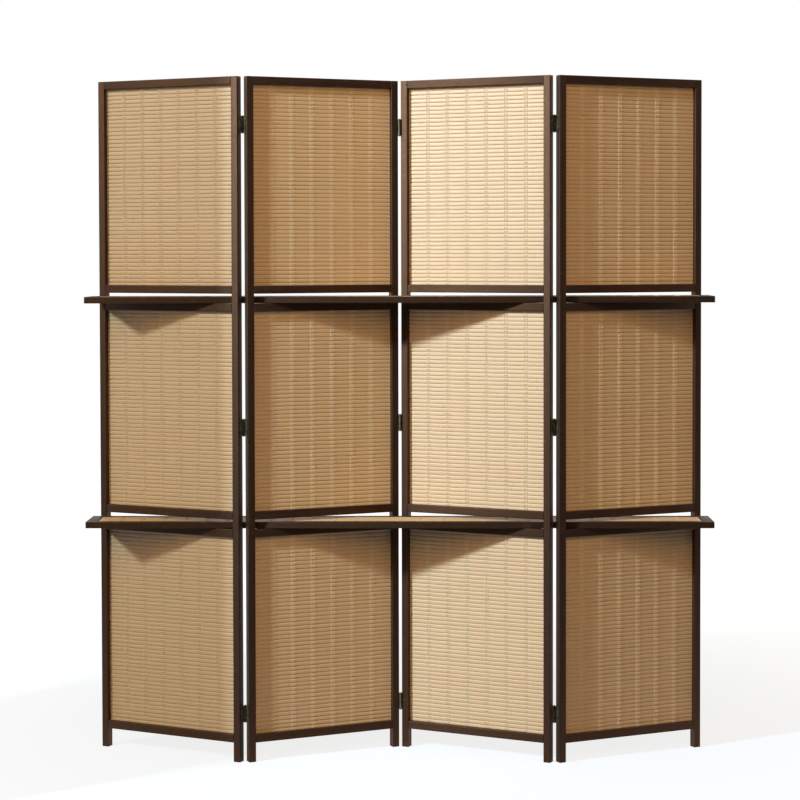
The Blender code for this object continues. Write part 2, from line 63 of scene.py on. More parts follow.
# The underside of each rail, and 1 or -1 for a groove in its upper or its lower edge.
RAIL_BASES = {
    "top_rail": (1.680, -1),
    "upper_slot_top_rail": (1.164, 1),
    "upper_slot_bottom_rail": (1.120, -1),
    "lower_slot_top_rail": (0.604, 1),
    "lower_slot_bottom_rail": (0.560, -1),
    "bottom_rail": (0.048, 1),
}
OPENINGS = {"upper_mat": (1.184, 0.496), "middle_mat": (0.624, 0.496), "lower_mat": (0.068, 0.492)}
FIT_GAP = 0.0003
TENON = {"length": 0.010, "front": 0.0031, "thickness": 0.006, "shoulder": 0.005}
GROOVE_FRONT = 0.0122
GROOVE_BACK = 0.0154
MAT_BITE = 0.0035
MAT_THICKNESS = 0.0026

FOLD_ANGLE = math.radians(25.4)
FOLD_X = 0.384726
FOLD_Y = 0.075843
POST_GAP = 0.0036
AXIS_SETOUT = 0.004
NEAR_AXIS = FRAME_DEPTH + AXIS_SETOUT
RIGHT_AXIS = PANEL_WIDTH + POST_GAP / 2
LEFT_AXIS = -POST_GAP / 2

BOARD_LENGTH = 1.563222
BOARD_FRONT = -0.069763
BOARD_BACK = 0.054843
BOARD_THICKNESS = 0.016
BOARD_BASES = {"upper": 1.1403, "lower": 0.5803}
BOARD_RAIL_WIDTH = 0.018
BOARD_END_WIDTH = 0.028
BOARD_MAT_TOP = 0.0154
print(f"{len(RAIL_BASES)} rails and {len(OPENINGS)} openings in each panel")

# %% [markdown]
# ## The folds
#
# Every panel turns about the hinge pins of its own fold. One matrix for each panel takes a point from the
# panel's flat frame to its place in the standing screen.

# %% Where each panel stands
# Each panel's pin line in its own frame and in the screen, and the way that it turns.
PANEL_FOLDS = {
    1: ((RIGHT_AXIS, NEAR_AXIS), (-FOLD_X, -FOLD_Y), -1),
    2: ((RIGHT_AXIS, -AXIS_SETOUT), (0, FOLD_Y), 1),
    3: ((LEFT_AXIS, -AXIS_SETOUT), (0, FOLD_Y), -1),
    4: ((LEFT_AXIS, NEAR_AXIS), (FOLD_X, -FOLD_Y), 1),
}


def panel_place(number):
    (axis_x, axis_y), (fold_x, fold_y), turn = PANEL_FOLDS[number]
    return (
        Matrix.Translation((fold_x, fold_y, 0))
        @ Matrix.Rotation(turn * FOLD_ANGLE, 4, "Z")
        @ Matrix.Translation((-axis_x, -axis_y, 0))
    )


# %% [markdown]
# ## The camera
#
# The lens, the place and the turn were worked out from the edges of the panels in the photograph. The
# picture is 800 pixels square. The posts stand almost upright in it, so most of the view downwards comes
# from a small vertical shift and only a little from tilting the camera.

# %% Camera
PICTURE_SIDE = 800
FOCAL_LENGTH_PIXELS = 2126.91
VERTICAL_SHIFT = -0.10
SENSOR_WIDTH = 36.0
CAMERA_PLACE = (0.0839, -5.3329, 1.2682)
CAMERA_YAW, CAMERA_PITCH, CAMERA_ROLL = (math.radians(a) for a in (-0.882, 1.850, -0.121))


def build_camera():
    data = bpy.data.cameras.new("camera")
    data.sensor_width = SENSOR_WIDTH
    data.lens = FOCAL_LENGTH_PIXELS * SENSOR_WIDTH / PICTURE_SIDE
    data.shift_y = VERTICAL_SHIFT
    camera = bpy.data.objects.new("camera", data)
    bpy.context.scene.collection.objects.link(camera)
    upright = Matrix.Rotation(math.pi / 2 - CAMERA_PITCH, 4, "X")
    turn = Matrix.Rotation(-CAMERA_YAW, 4, "Z") @ upright @ Matrix.Rotation(CAMERA_ROLL, 4, "Z")
    camera.matrix_world = Matrix.Translation(CAMERA_PLACE) @ turn
    bpy.context.scene.camera = camera
    return camera


camera = build_camera()
print(f"lens {camera.data.lens:.1f} mm, shift {camera.data.shift_y:.3f}")

# %% [markdown]
# ## Arithmetic on sockets
#
# Shader and geometry trees both have Math nodes. Wiring them by hand hides the formula, so a small class
# lets a socket take part in ordinary Python sums: `a * 2 + b` adds a Multiply node and an Add node.

# %% Sockets that can be added and multiplied
class Term:
    """An output socket that takes part in sums."""

    def __init__(self, graph, socket):
        self.graph = graph
        self.socket = socket

    def __add__(self, other):
        return self.graph.math("ADD", self, other)

    def __sub__(self, other):
        return self.graph.math("SUBTRACT", self, other)

    def __mul__(self, other):
        return self.graph.math("MULTIPLY", self, other)

    def __truediv__(self, other):
        return self.graph.math("DIVIDE", self, other)

    def __pow__(self, other):
        return self.graph.math("POWER", self, other)

    def __rsub__(self, other):
        return self.graph.math("SUBTRACT", other, self)

    __radd__ = __add__
    __rmul__ = __mul__

    def output(self, name):
        """Another output of the node that this one comes from."""
        return Term(self.graph, find_socket(self.socket.node.outputs, name))


def find_socket(sockets, key):
    if isinstance(key, int):
        return sockets[key]
    for socket in sockets:
        if socket.identifier == key and socket.enabled:
            return socket
    return next(socket for socket in sockets if socket.name == key and socket.enabled)


print("sockets add, subtract, multiply and divide")

# %% [markdown]
# ### One method for every node
#
# A second class holds the tree. Its method `node` takes a node's type, its settings and its sockets. The
# other methods are short names for the nodes that the finishes and the mats use most.

# %% A tree with one method for every node
class Graph:
    """A node tree, with one method that adds a node: its settings first, then its sockets."""

    def __init__(self, tree):
        self.tree = tree

    def node(self, kind, settings=None, sockets=None, output=0):
        node = self.tree.nodes.new(kind)
        for name, value in (settings or {}).items():
            setattr(node, name, value)
        for key, value in (sockets or {}).items():
            self.feed(find_socket(node.inputs, key), value)
        return Term(self, find_socket(node.outputs, output)) if len(node.outputs) else node

    def feed(self, socket, value):
        if isinstance(value, Term):
            self.tree.links.new(value.socket, socket)
        elif socket.type == "RGBA" and len(value) == 3:
            socket.default_value = (*value, 1.0)
        else:
            socket.default_value = value

    def math(self, operation, *values):
        return self.node("ShaderNodeMath", {"operation": operation}, dict(enumerate(values)))

    def vector(self, operation, *values):
        return self.node("ShaderNodeVectorMath", {"operation": operation}, dict(enumerate(values)))

    def combine(self, x, y, z):
        return self.node("ShaderNodeCombineXYZ", None, {"X": x, "Y": y, "Z": z})

    def separate(self, vector):
        x = self.node("ShaderNodeSeparateXYZ", None, {"Vector": vector}, "X")
        return x, x.output("Y"), x.output("Z")

    def mix(self, share, first, second):
        """One colour at share 0 and the other at share 1."""
        return self.node(
            "ShaderNodeMix", {"data_type": "RGBA"},
            {"Factor_Float": share, "A_Color": first, "B_Color": second}, "Result_Color",
        )

    def noise(self, vector, scale=1.0, detail=2.0, roughness=0.5):
        return self.node(
            "ShaderNodeTexNoise", None,
            {"Vector": vector, "Scale": scale, "Detail": detail, "Roughness": roughness}, "Fac",
        )

    def ramp(self, value, low, high, bottom=0.0, top=1.0):
        """value between low and high, taken to bottom and top and held there."""
        return self.node(
            "ShaderNodeMapRange", {"interpolation_type": "SMOOTHSTEP"},
            {"Value": value, "From Min": low, "From Max": high, "To Min": bottom, "To Max": top},
        )


print("a graph also has", ", ".join(name for name in vars(Graph) if not name.startswith("_")))

# %% [markdown]
# ## Finishes
#
# Each finish reads attributes that its pieces carry. `grain` is a point's place along, across and through
# its own stick, slat or strand, so the figure follows the piece however the panel is turned. `wear` is 1 on
# a rounded edge. `tone` is one random number for each piece of wood, and `slat` one for each slat. `valley`
# is 1 where a mat is deepest, and the finishes paint it darker there, as shade and, on the bamboo, as varnish
# and dust too. `column` is 1 where the strands hold a slat, and the bamboo gets a painted highlight there.

# %% A new finish
def new_finish(name, **constants):
    """A material and its graph. The constants go straight on the shader's own sockets."""
    material = bpy.data.materials.new(name)
    material.use_nodes = True
    shader = material.node_tree.nodes["Principled BSDF"]
    for socket, value in constants.items():
        shader.inputs[socket.replace("_", " ").title().replace("Ior", "IOR")].default_value = value
    return material, Graph(material.node_tree), shader


def attribute(graph, name, output="Fac"):
    return graph.node("ShaderNodeAttribute", {"attribute_name": name}, None, output)


def stretched(graph, vector, along, across):
    """The vector scaled for a pattern that runs along a piece, in repeats for each metre."""
    return graph.vector("MULTIPLY", vector, (along, across, across))


def bump(graph, shader, height, distance):
    normal = graph.node("ShaderNodeBump", None, {"Height": height, "Distance": distance})
    graph.feed(shader.inputs["Normal"], normal)


print("each finish starts from a Principled shader")

# %% [markdown]
# ### Walnut-stained wood
#
# A dark stain over a plain hardwood, under a satin varnish. Three patterns run along the grain: broad bands
# of colour, fine darker lines, and pores. On the rounded edges handling has rubbed the stain thin, which
# shows as a broken lighter line.

# %% Walnut-stained wood
STAIN_DARK = (0.0045, 0.0022, 0.0013)
STAIN_MID = (0.0115, 0.0058, 0.0036)
STAIN_LIGHT = (0.0230, 0.0120, 0.0074)
STAIN_RUBBED = (0.0800, 0.0440, 0.0260)
VARNISH_TINT = (1.0, 0.46, 0.24, 1.0)
BAND_REPEATS = (2.2, 130)
LINE_REPEATS = (9, 850)
PORE_REPEATS = (130, 3600)
RUBBED_REPEATS = 55
LINE_SHARE, PORE_SHARE, TONE_SHARE, RUBBED_SHARE = 0.75, 0.7, 0.45, 0.75
PORE_DEPTH = 0.00009


def walnut_finish(name, from_attributes=True):
    material, graph, shader = new_finish(name, specular_ior_level=1.0, specular_tint=VARNISH_TINT)
    if from_attributes:
        grain = attribute(graph, "grain", "Vector")
        wear = attribute(graph, "wear")
        tone = attribute(graph, "tone")
    else:
        grain = graph.node("ShaderNodeTexCoord", None, None, "Object")
    bands = graph.noise(stretched(graph, grain, *BAND_REPEATS), detail=3)
    lines = graph.noise(stretched(graph, grain, *LINE_REPEATS), detail=3, roughness=0.6)
    pores = graph.noise(stretched(graph, grain, *PORE_REPEATS), detail=1)
    colour = graph.mix(graph.ramp(bands, 0.35, 0.68), STAIN_MID, STAIN_LIGHT)
    colour = graph.mix(graph.ramp(lines, 0.46, 0.66) * LINE_SHARE, colour, STAIN_DARK)
    pore = graph.ramp(pores, 0.60, 0.70)
    colour = graph.mix(pore * PORE_SHARE, colour, STAIN_DARK)
    if from_attributes:
        colour = graph.mix(tone * TONE_SHARE, colour, STAIN_DARK)
        rubbed = graph.ramp(graph.noise(grain, RUBBED_REPEATS, 4, 0.65) + wear * 0.5, 0.86, 1.06)
        colour = graph.mix(rubbed * wear * RUBBED_SHARE, colour, STAIN_RUBBED)
    graph.feed(shader.inputs["Base Color"], colour)
    graph.feed(shader.inputs["Roughness"], 0.50 + lines * 0.08 + pore * 0.10)
    bump(graph, shader, lines * 0.5 - pore, PORE_DEPTH)
    return material


walnut = walnut_finish("walnut_stained_wood")
walnut_panel = walnut_finish("walnut_stained_panel", from_attributes=False)
print("made", walnut.name, "and", walnut_panel.name)

# %% [markdown]
# ### Bamboo slats
#
# Split bamboo under a clear varnish. Every slat has its own tint between straw and a pinker tan, fine
# fibres run along it, and here and there a slat crosses a joint of the cane, which leaves a thin darker
# line. Where the strands hold a slat a painted highlight makes it a little paler. The valleys between the
# slats are painted darker, partly for varnish and dust lying there and partly as painted shade. A slat's
# second random number comes from its first: the digits that are left when that is multiplied.

# %% Bamboo slats
SLAT_STRAW = (0.645, 0.398, 0.177)
SLAT_TAN = (0.632, 0.372, 0.166)
SLAT_GREENISH = (0.612, 0.390, 0.170)
# A painted highlight on a slat's crest where the strands hold it.
SLAT_COLUMN_HIGHLIGHT = (0.780, 0.590, 0.370)
SLAT_FIBRE = (0.480, 0.280, 0.125)
# Painted shade in the valleys between slats, with some varnish and dust.
SLAT_VALLEY_DUST_AND_SHADE = (0.250, 0.115, 0.038)
SLAT_JOINT = (0.300, 0.165, 0.065)
CANE_JOINT_PITCH = 0.31
CANE_JOINT_WIDTH = 0.0012
JOINTED_FROM = 0.45
CANE_BAND_REPEATS = (3.5, 20)
FIBRE_REPEATS = (24, 2300)
FIBRE_HEIGHT = 0.00004
GREENISH_SHARE, TAN_SHARE, FIBRE_SHARE = 0.6, 0.35, 0.45
JOINT_SHARE, COLUMN_HIGHLIGHT_SHARE, VALLEY_DUST_AND_SHADE_SHARE = 0.7, 0.60, 0.34
SECOND_DRAW = 7.31


def bamboo_finish(name):
    material, graph, shader = new_finish(name, specular_ior_level=1.0, ior=1.6)
    grain = attribute(graph, "grain", "Vector")
    slat = attribute(graph, "slat")
    valley = attribute(graph, "valley")
    along = graph.separate(grain)[0]
    own = graph.math("FRACT", slat * SECOND_DRAW)
    bands = graph.noise(stretched(graph, grain, *CANE_BAND_REPEATS), detail=2)
    fibres = graph.noise(stretched(graph, grain, *FIBRE_REPEATS), detail=2, roughness=0.6)
    colour = graph.mix(slat, SLAT_STRAW, SLAT_TAN)
    colour = graph.mix(graph.ramp(own, 0.62, 0.70) * GREENISH_SHARE, colour, SLAT_GREENISH)
    colour = graph.mix(graph.ramp(bands, 0.40, 0.66) * TAN_SHARE, colour, SLAT_TAN)
    colour = graph.mix(graph.ramp(fibres, 0.48, 0.72) * FIBRE_SHARE, colour, SLAT_FIBRE)
    along_cane = graph.math("PINGPONG", along, CANE_JOINT_PITCH)
    has_joints = graph.math("GREATER_THAN", own, JOINTED_FROM)
    joint = graph.ramp(along_cane, 0.0, CANE_JOINT_WIDTH, 1.0, 0.0) * has_joints
    colour = graph.mix(joint * JOINT_SHARE, colour, SLAT_JOINT)
    # A painted highlight on the slat where the strands hold it.
    colour = graph.mix(attribute(graph, "column") * COLUMN_HIGHLIGHT_SHARE, colour, SLAT_COLUMN_HIGHLIGHT)
    # Painted shade in the valleys, with some varnish and dust.
    colour = graph.mix(valley * VALLEY_DUST_AND_SHADE_SHARE, colour, SLAT_VALLEY_DUST_AND_SHADE)
    graph.feed(shader.inputs["Base Color"], colour)
    graph.feed(shader.inputs["Roughness"], 0.53 + fibres * 0.08 + valley * 0.06)
    bump(graph, shader, fibres * 0.6 + joint * 1.5, FIBRE_HEIGHT)
    return material


bamboo = bamboo_finish("varnished_bamboo")
print("made", bamboo.name)

# %% [markdown]
# ### Cotton strands
#
# The slats are held by twined strands of undyed cotton. Their ply shows as fine slanting ridges. Where a
# strand dips between two slats it is painted darker, as shade.

# %% Cotton strands
COTTON_LIGHT = (0.820, 0.615, 0.345)
COTTON_SHADE = (0.700, 0.470, 0.230)
# Painted shade where a strand dips between two slats.
COTTON_DIP_SHADE = (0.180, 0.080, 0.028)
PLY_REPEATS = 700
PLY_SLANT = 0.8
FLUFF_REPEATS = 900
PLY_HEIGHT = 0.00008


def cotton_finish(name):
    material, graph, shader = new_finish(name, specular_ior_level=0.6)
    grain = attribute(graph, "grain", "Vector")
    along, across = graph.separate(grain)[:2]
    ply = graph.math("SINE", (along + across * PLY_SLANT) * (PLY_REPEATS * math.tau)) * 0.5 + 0.5
    fluff = graph.noise(grain, FLUFF_REPEATS)
    colour = graph.mix(ply * 0.5 + fluff * 0.4, COTTON_SHADE, COTTON_LIGHT)
    # Painted shade where the strand dips between slats.
    colour = graph.mix(attribute(graph, "valley") * 0.5, colour, COTTON_DIP_SHADE)
    graph.feed(shader.inputs["Base Color"], colour)
    graph.feed(shader.inputs["Roughness"], 0.50 + fluff * 0.15)
    bump(graph, shader, ply + fluff * 0.5, PLY_HEIGHT)
    return material


cotton = cotton_finish("cotton_strand")
print("made", cotton.name)

# %% [markdown]
# ### Antique bronze
#
# The hinges have a dark olive patina, rubbed to a warmer metal in places, with faint scratches.

# %% Antique bronze
PATINA_DARK = (0.130, 0.110, 0.062)
PATINA_OLIVE = (0.270, 0.235, 0.140)
BRONZE_RUBBED = (0.520, 0.430, 0.270)
CLOUD_REPEATS = 160
SPECK_REPEATS = 1400
SCRATCH_REPEATS = (2200, 2200, 90)
SPECK_HEIGHT = 0.00003


def bronze_finish(name, rubbed_share):
    material, graph, shader = new_finish(name, metallic=0.9)
    place = graph.node("ShaderNodeTexCoord", None, None, "Object")
    cloud = graph.noise(place, CLOUD_REPEATS, 4, 0.6)
    specks = graph.noise(place, SPECK_REPEATS, 2, 0.6)
    scratches = graph.noise(graph.vector("MULTIPLY", place, SCRATCH_REPEATS), detail=1)
    colour = graph.mix(graph.ramp(cloud, 0.38, 0.62), PATINA_DARK, PATINA_OLIVE)
    rubbed = graph.ramp(cloud + specks * 0.35, 0.74 - rubbed_share, 0.90 - rubbed_share)
    colour = graph.mix(rubbed * 0.8, colour, BRONZE_RUBBED)
    graph.feed(shader.inputs["Base Color"], colour)
    graph.feed(shader.inputs["Roughness"], 0.30 + specks * 0.20 + (1 - rubbed) * 0.10)
    bump(graph, shader, scratches * 0.4 + specks, SPECK_HEIGHT)
    return material


bronze = bronze_finish("antique_bronze", 0.02)
screw_bronze = bronze_finish("rubbed_bronze", 0.14)
print("made", bronze.name, "and", screw_bronze.name)

# %% [markdown]
# ## Making pieces
#
# Every piece is a mesh whose object stays at the origin. It rides on the body of the node it stands for.
# Joints and holes are cut with Boolean modifiers, whose result becomes a plain mesh.

# %% Helpers for meshes
def finished(build, name="shape"):
    """The mesh of a bmesh, with its faces outwards."""
    bmesh.ops.recalc_face_normals(build, faces=build.faces)
    mesh = bpy.data.meshes.new(name)
    build.to_mesh(mesh)
    build.free()
    return mesh


def boxes(corners):
    """Plain boxes between pairs of corners, for tenons and cuts."""
    build = bmesh.new()
    for low, high in corners:
        low, high = Vector(low), Vector(high)
        size = Matrix.Diagonal((*(abs(a) for a in high - low), 1))
        bmesh.ops.create_cube(build, matrix=Matrix.Translation((low + high) / 2) @ size)
    return finished(build)


def baked(obj):
    """The plain mesh that an object's modifiers leave. The object goes."""
    graph = bpy.context.evaluated_depsgraph_get()
    mesh = bpy.data.meshes.new_from_object(obj.evaluated_get(graph), depsgraph=graph)
    bpy.data.objects.remove(obj)
    return mesh


def combined(mesh, tool_mesh, operation):
    body, tool = (bpy.data.objects.new("work", m) for m in (mesh, tool_mesh))
    for obj in (body, tool):
        bpy.context.scene.collection.objects.link(obj)
    modifier = body.modifiers.new("combine", "BOOLEAN")
    modifier.operation = operation
    modifier.object = tool
    result = baked(body)
    bpy.data.objects.remove(tool)
    return result


def merged(meshes):
    """Several meshes as one."""
    build = bmesh.new()
    for mesh in meshes:
        build.from_mesh(mesh)
    mesh = bpy.data.meshes.new("merged")
    build.to_mesh(mesh)
    build.free()
    return mesh


SMOOTH_ANGLE = math.radians(38)


def add_piece(name, mesh, body, finish=None, replaced=()):
    mesh.name = name
    if finish:
        mesh.materials.clear()
        mesh.materials.append(finish)
        mesh.shade_smooth()
        mesh.set_sharp_from_angle(angle=SMOOTH_ANGLE)
    piece = bpy.data.objects.new(name, mesh)
    bpy.context.scene.collection.objects.link(piece)
    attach(piece, body)
    if replaced:
        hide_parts(*replaced)
    return piece


print(f"edges sharper than {math.degrees(SMOOTH_ANGLE):.0f} degrees stay sharp")

# %% [markdown]
# ## Wooden bars
#
# Posts and rails are sawn bars with lightly rounded edges. The bar is drawn as rings: each ring is a
# rounded rectangle, and the first and last rings are drawn in to round the ends. A line of points just
# inside each rounded edge keeps the flats flat under smooth shading.

# %% A rounded bar
EDGE_RADIUS = 0.00105
EDGE_STEPS = 3
END_ANGLES = (90, 60, 30, 0)
FLAT_MARGIN = 0.0016


def heading(degrees):
    """The unit vector that points this way in the plane."""
    return Vector((math.cos(math.radians(degrees)), math.sin(math.radians(degrees))))


def ring_points(width, depth, inset):
    """A rounded rectangle drawn in by inset, as (across, through) pairs."""
    points = []
    corners = (((0, 0), 180), ((width, 0), 270), ((width, depth), 0), ((0, depth), 90))
    for (x, y), start in corners:
        inward = Vector((1 if x == 0 else -1, 1 if y == 0 else -1))
        centre = Vector((x, y)) + inward * (inset + EDGE_RADIUS)
        arc = [centre + heading(start + 90 * step / EDGE_STEPS) * EDGE_RADIUS
               for step in range(EDGE_STEPS + 1)]
        points.append(arc[0] - heading(start + 90) * FLAT_MARGIN)
        points += arc
        points.append(arc[-1] + heading(start + 180) * FLAT_MARGIN)
    return points


def bridge(build, first, second):
    """A band of faces between two closed rings."""
    for i in range(len(first)):
        j = (i + 1) % len(first)
        build.faces.new((first[i], first[j], second[j], second[i]))


def bar(low, high, along):
    """A rounded bar between two corners. along is 0, 1 or 2 for a length on x, y or z."""
    low, high = Vector(low), Vector(high)
    length = high[along] - low[along]
    across, through = (axis for axis in range(3) if axis != along)
    ends = [(EDGE_RADIUS * (1 - math.sin(a)), EDGE_RADIUS * (1 - math.cos(a)))
            for a in (math.radians(degrees) for degrees in END_ANGLES)]
    stations = ends + [(length - place, inset) for place, inset in reversed(ends)]
    build = bmesh.new()
    rings = []
    for place, inset in stations:
        ring = []
        for a, b in ring_points(high[across] - low[across], high[through] - low[through], inset):
            point = low.copy()
            point[along] += place
            point[across] += a
            point[through] += b
            ring.append(build.verts.new(point))
        rings.append(ring)
    for first, second in zip(rings, rings[1:]):
        bridge(build, first, second)
    build.faces.new(rings[0])
    build.faces.new(rings[-1])
    return finished(build)


print(len(ring_points(POST_WIDTH, FRAME_DEPTH, 0.0)), "points round a bar")

# %% [markdown]
# ### Grain along a bar
#
# Each point of a bar stores its place in that bar, moved by a random shift, so that every bar shows another
# stretch of grain. Hands wear the edges most, so each point also stores how near an edge it is. Attributes do
# both better than Object coordinates, which would run straight through a panel that stands at an angle.

# %% Grain along a bar
WEAR_REACH = 0.0024
GRAIN_SHIFTS = (40, 3, 3)


def mark_grain(mesh, low, high, along, seed):
    """Store each point's place in its own bar, how near it is to an edge, and the bar's own tone."""
    draw = random.Random(seed)
    shift = Vector([draw.uniform(0, reach) for reach in GRAIN_SHIFTS])
    tone = draw.random()
    across, through = (axis for axis in range(3) if axis != along)
    grain, wear = [], []
    for vert in mesh.vertices:
        place = vert.co - Vector(low)
        grain.extend(Vector((place[along], place[across], place[through])) + shift)
        nearest = sorted(min(vert.co[i] - low[i], high[i] - vert.co[i]) for i in range(3))
        outside = nearest[0] < -FIT_GAP
        wear.append(0.0 if outside else max(0.0, 1 - math.hypot(nearest[0], nearest[1]) / WEAR_REACH))
    mesh.attributes.new("grain", "FLOAT_VECTOR", "POINT").data.foreach_set("vector", grain)
    mesh.attributes.new("wear", "FLOAT", "POINT").data.foreach_set("value", wear)
    mesh.attributes.new("tone", "FLOAT", "POINT").data.foreach_set("value", [tone] * len(wear))
    return mesh


print(f"edges are worn over {WEAR_REACH * 1000:.1f} mm")

# %% [markdown]
# ### Posts and rails
#
# A post has a mortise for each rail's tenon and a groove beside each opening for the mat. A rail has a
# tenon at each end, and a groove in the edge that borders an opening. The shapes are made once and copied
# to all four panels, and each copy gets its own stretch of grain.

# %% Posts and rails
TINY_OVERRUN = 0.002


def tenon_box(start, end, base, play=0.0):
    """A tenon's corners, on the rail that stands at base. Its mortise has some play all round."""
    return (
        (start, TENON["front"] - play, base + TENON["shoulder"] - play),
        (end, TENON["front"] + TENON["thickness"] + play, base + RAIL_HEIGHT - TENON["shoulder"] + play),
    )


def post_shape(is_left):
    left = 0.0 if is_left else PANEL_WIDTH - POST_WIDTH
    inner = POST_WIDTH if is_left else PANEL_WIDTH - POST_WIDTH
    inward = 1 if is_left else -1
    mouth = inner + inward * TINY_OVERRUN
    low, high = (left, 0.0, 0.0), (left + POST_WIDTH, FRAME_DEPTH, POST_HEIGHT)
    cuts = [tenon_box(mouth, inner - inward * (TENON["length"] + FIT_GAP), base, FIT_GAP)
            for base, _ in RAIL_BASES.values()]
    for base, height in OPENINGS.values():
        cuts.append((
            (mouth, GROOVE_FRONT, base - MAT_BITE - FIT_GAP),
            (inner - inward * (MAT_BITE + FIT_GAP), GROOVE_BACK, base + height + MAT_BITE + FIT_GAP),
        ))
    return combined(bar(low, high, 2), boxes(cuts), "DIFFERENCE"), low, high, 2


def rail_shape(base, groove_side):
    low = (POST_WIDTH + FIT_GAP, 0.0, base)
    high = (PANEL_WIDTH - POST_WIDTH - FIT_GAP, FRAME_DEPTH, base + RAIL_HEIGHT)
    tenon = tenon_box(POST_WIDTH - TENON["length"], PANEL_WIDTH - POST_WIDTH + TENON["length"], base)
    edge = base + RAIL_HEIGHT if groove_side > 0 else base
    groove = (
        (low[0] - TINY_OVERRUN, GROOVE_FRONT, edge + groove_side * TINY_OVERRUN),
        (high[0] + TINY_OVERRUN, GROOVE_BACK, edge - groove_side * (MAT_BITE + FIT_GAP)),
    )
    mesh = combined(bar(low, high, 0), boxes([tenon]), "UNION")
    return combined(mesh, boxes([groove]), "DIFFERENCE"), low, high, 0


def add_wood(name, shape, place, body, seed):
    mesh, low, high, along = shape
    copy = mark_grain(mesh.copy(), low, high, along, seed)
    copy.transform(place)
    return add_piece(name, copy, body, walnut, [name.rsplit("-", 1)[0]])


shapes = {f"{side}_post": (post_shape(side == "left"), "posts") for side in ("left", "right")}
shapes.update({name: (rail_shape(*size), "rails") for name, size in RAIL_BASES.items()})
for number in PANEL_FOLDS:
    for order, (name, (shape, slot)) in enumerate(shapes.items()):
        node = f"panel_{number}_{name}"
        add_wood(node + "-wood", shape, panel_place(number), f"panel_{number}", number * 100 + order)
print(f"{len(shapes) * len(PANEL_FOLDS)} posts and rails")

# %% [markdown]
# ### Shelf boards
#
# Each board is a long frame: a front rail and a back rail, with an end rail tenoned between them at each
# end. The thin panel under its mat keeps its CAD solid and only gets the finish.

# %% Shelf frames
BOARD_CENTRE = (BOARD_FRONT + BOARD_BACK) / 2
BOARD_TENON = {"length": 0.008, "shoulder": 0.004, "setback": 0.005}
BASE_PANEL = {"bite": 0.004, "low": 0.0085, "high": 0.0125}
BOARD_GRAIN_SEEDS = {"upper": 900, "lower": 950}


def board_tenon_span(end):
    outer = BOARD_LENGTH / 2 - BOARD_TENON["setback"]
    inner = BOARD_LENGTH / 2 - BOARD_END_WIDTH + BASE_PANEL["bite"] + BOARD_TENON["setback"]
    return sorted((end * inner, end * outer))


def long_rail_shape(facing, base):
    outer = BOARD_BACK if facing > 0 else BOARD_FRONT
    inner = outer - facing * BOARD_RAIL_WIDTH
    low = (-BOARD_LENGTH / 2, min(outer, inner), base)
    high = (BOARD_LENGTH / 2, max(outer, inner), base + BOARD_THICKNESS)
    reach = BOARD_LENGTH / 2 - BOARD_END_WIDTH + BASE_PANEL["bite"] + FIT_GAP
    bite = inner + facing * (BASE_PANEL["bite"] + FIT_GAP)
    cuts = [((-reach, inner - facing * TINY_OVERRUN, base + BASE_PANEL["low"] - FIT_GAP),
             (reach, bite, base + BASE_PANEL["high"] + FIT_GAP))]
    for end in (-1, 1):
        span = board_tenon_span(end)
        cuts.append((
            (span[0] - FIT_GAP, inner - facing * TINY_OVERRUN, base + BOARD_TENON["shoulder"] - FIT_GAP),
            (span[1] + FIT_GAP, inner + facing * (BOARD_TENON["length"] + FIT_GAP),
             base + BOARD_THICKNESS - BOARD_TENON["shoulder"] + FIT_GAP),
        ))
    return combined(bar(low, high, 0), boxes(cuts), "DIFFERENCE"), low, high, 0


def end_rail_shape(end, base):
    outer, inner = end * BOARD_LENGTH / 2, end * (BOARD_LENGTH / 2 - BOARD_END_WIDTH)
    front, back = BOARD_FRONT + BOARD_RAIL_WIDTH + FIT_GAP, BOARD_BACK - BOARD_RAIL_WIDTH - FIT_GAP
    low = (min(outer, inner), front, base)
    high = (max(outer, inner), back, base + BOARD_THICKNESS)
    span = board_tenon_span(end)
    reach = BOARD_TENON["length"] + FIT_GAP
    tenon = ((span[0], front - reach, base + BOARD_TENON["shoulder"]),
             (span[1], back + reach, base + BOARD_THICKNESS - BOARD_TENON["shoulder"]))
    groove = ((inner - end * TINY_OVERRUN, front - TINY_OVERRUN, base + BASE_PANEL["low"] - FIT_GAP),
              (inner + end * (BASE_PANEL["bite"] + FIT_GAP), back + TINY_OVERRUN,
               base + BASE_PANEL["high"] + FIT_GAP))
    mesh = combined(bar(low, high, 1), boxes([tenon]), "UNION")
    return combined(mesh, boxes([groove]), "DIFFERENCE"), low, high, 1


for level, base in BOARD_BASES.items():
    bars = {
        "front_rail": long_rail_shape(-1, base),
        "back_rail": long_rail_shape(1, base),
        "left_end_rail": end_rail_shape(-1, base),
        "right_end_rail": end_rail_shape(1, base),
    }
    for order, (name, shape) in enumerate(bars.items()):
        add_wood(f"{level}_shelf_{name}-wood", shape, Matrix.Identity(4), f"{level}_shelf",
                 BOARD_GRAIN_SEEDS[level] + order)
    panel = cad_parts[f"{level}_shelf_base_panel"]
    panel.data.materials.clear()
    panel.data.materials.append(walnut_panel)
print("two shelf frames")

# %% [markdown]
# ## Growing shapes from rules
#
# What repeats by a rule is grown by a Geometry Nodes tree. Each tree is built here, its sizes are named
# inputs, and its random numbers come from a seed. The first helpers start a tree and read its result back as
# a plain mesh. The others add the few nodes that these trees are made of.

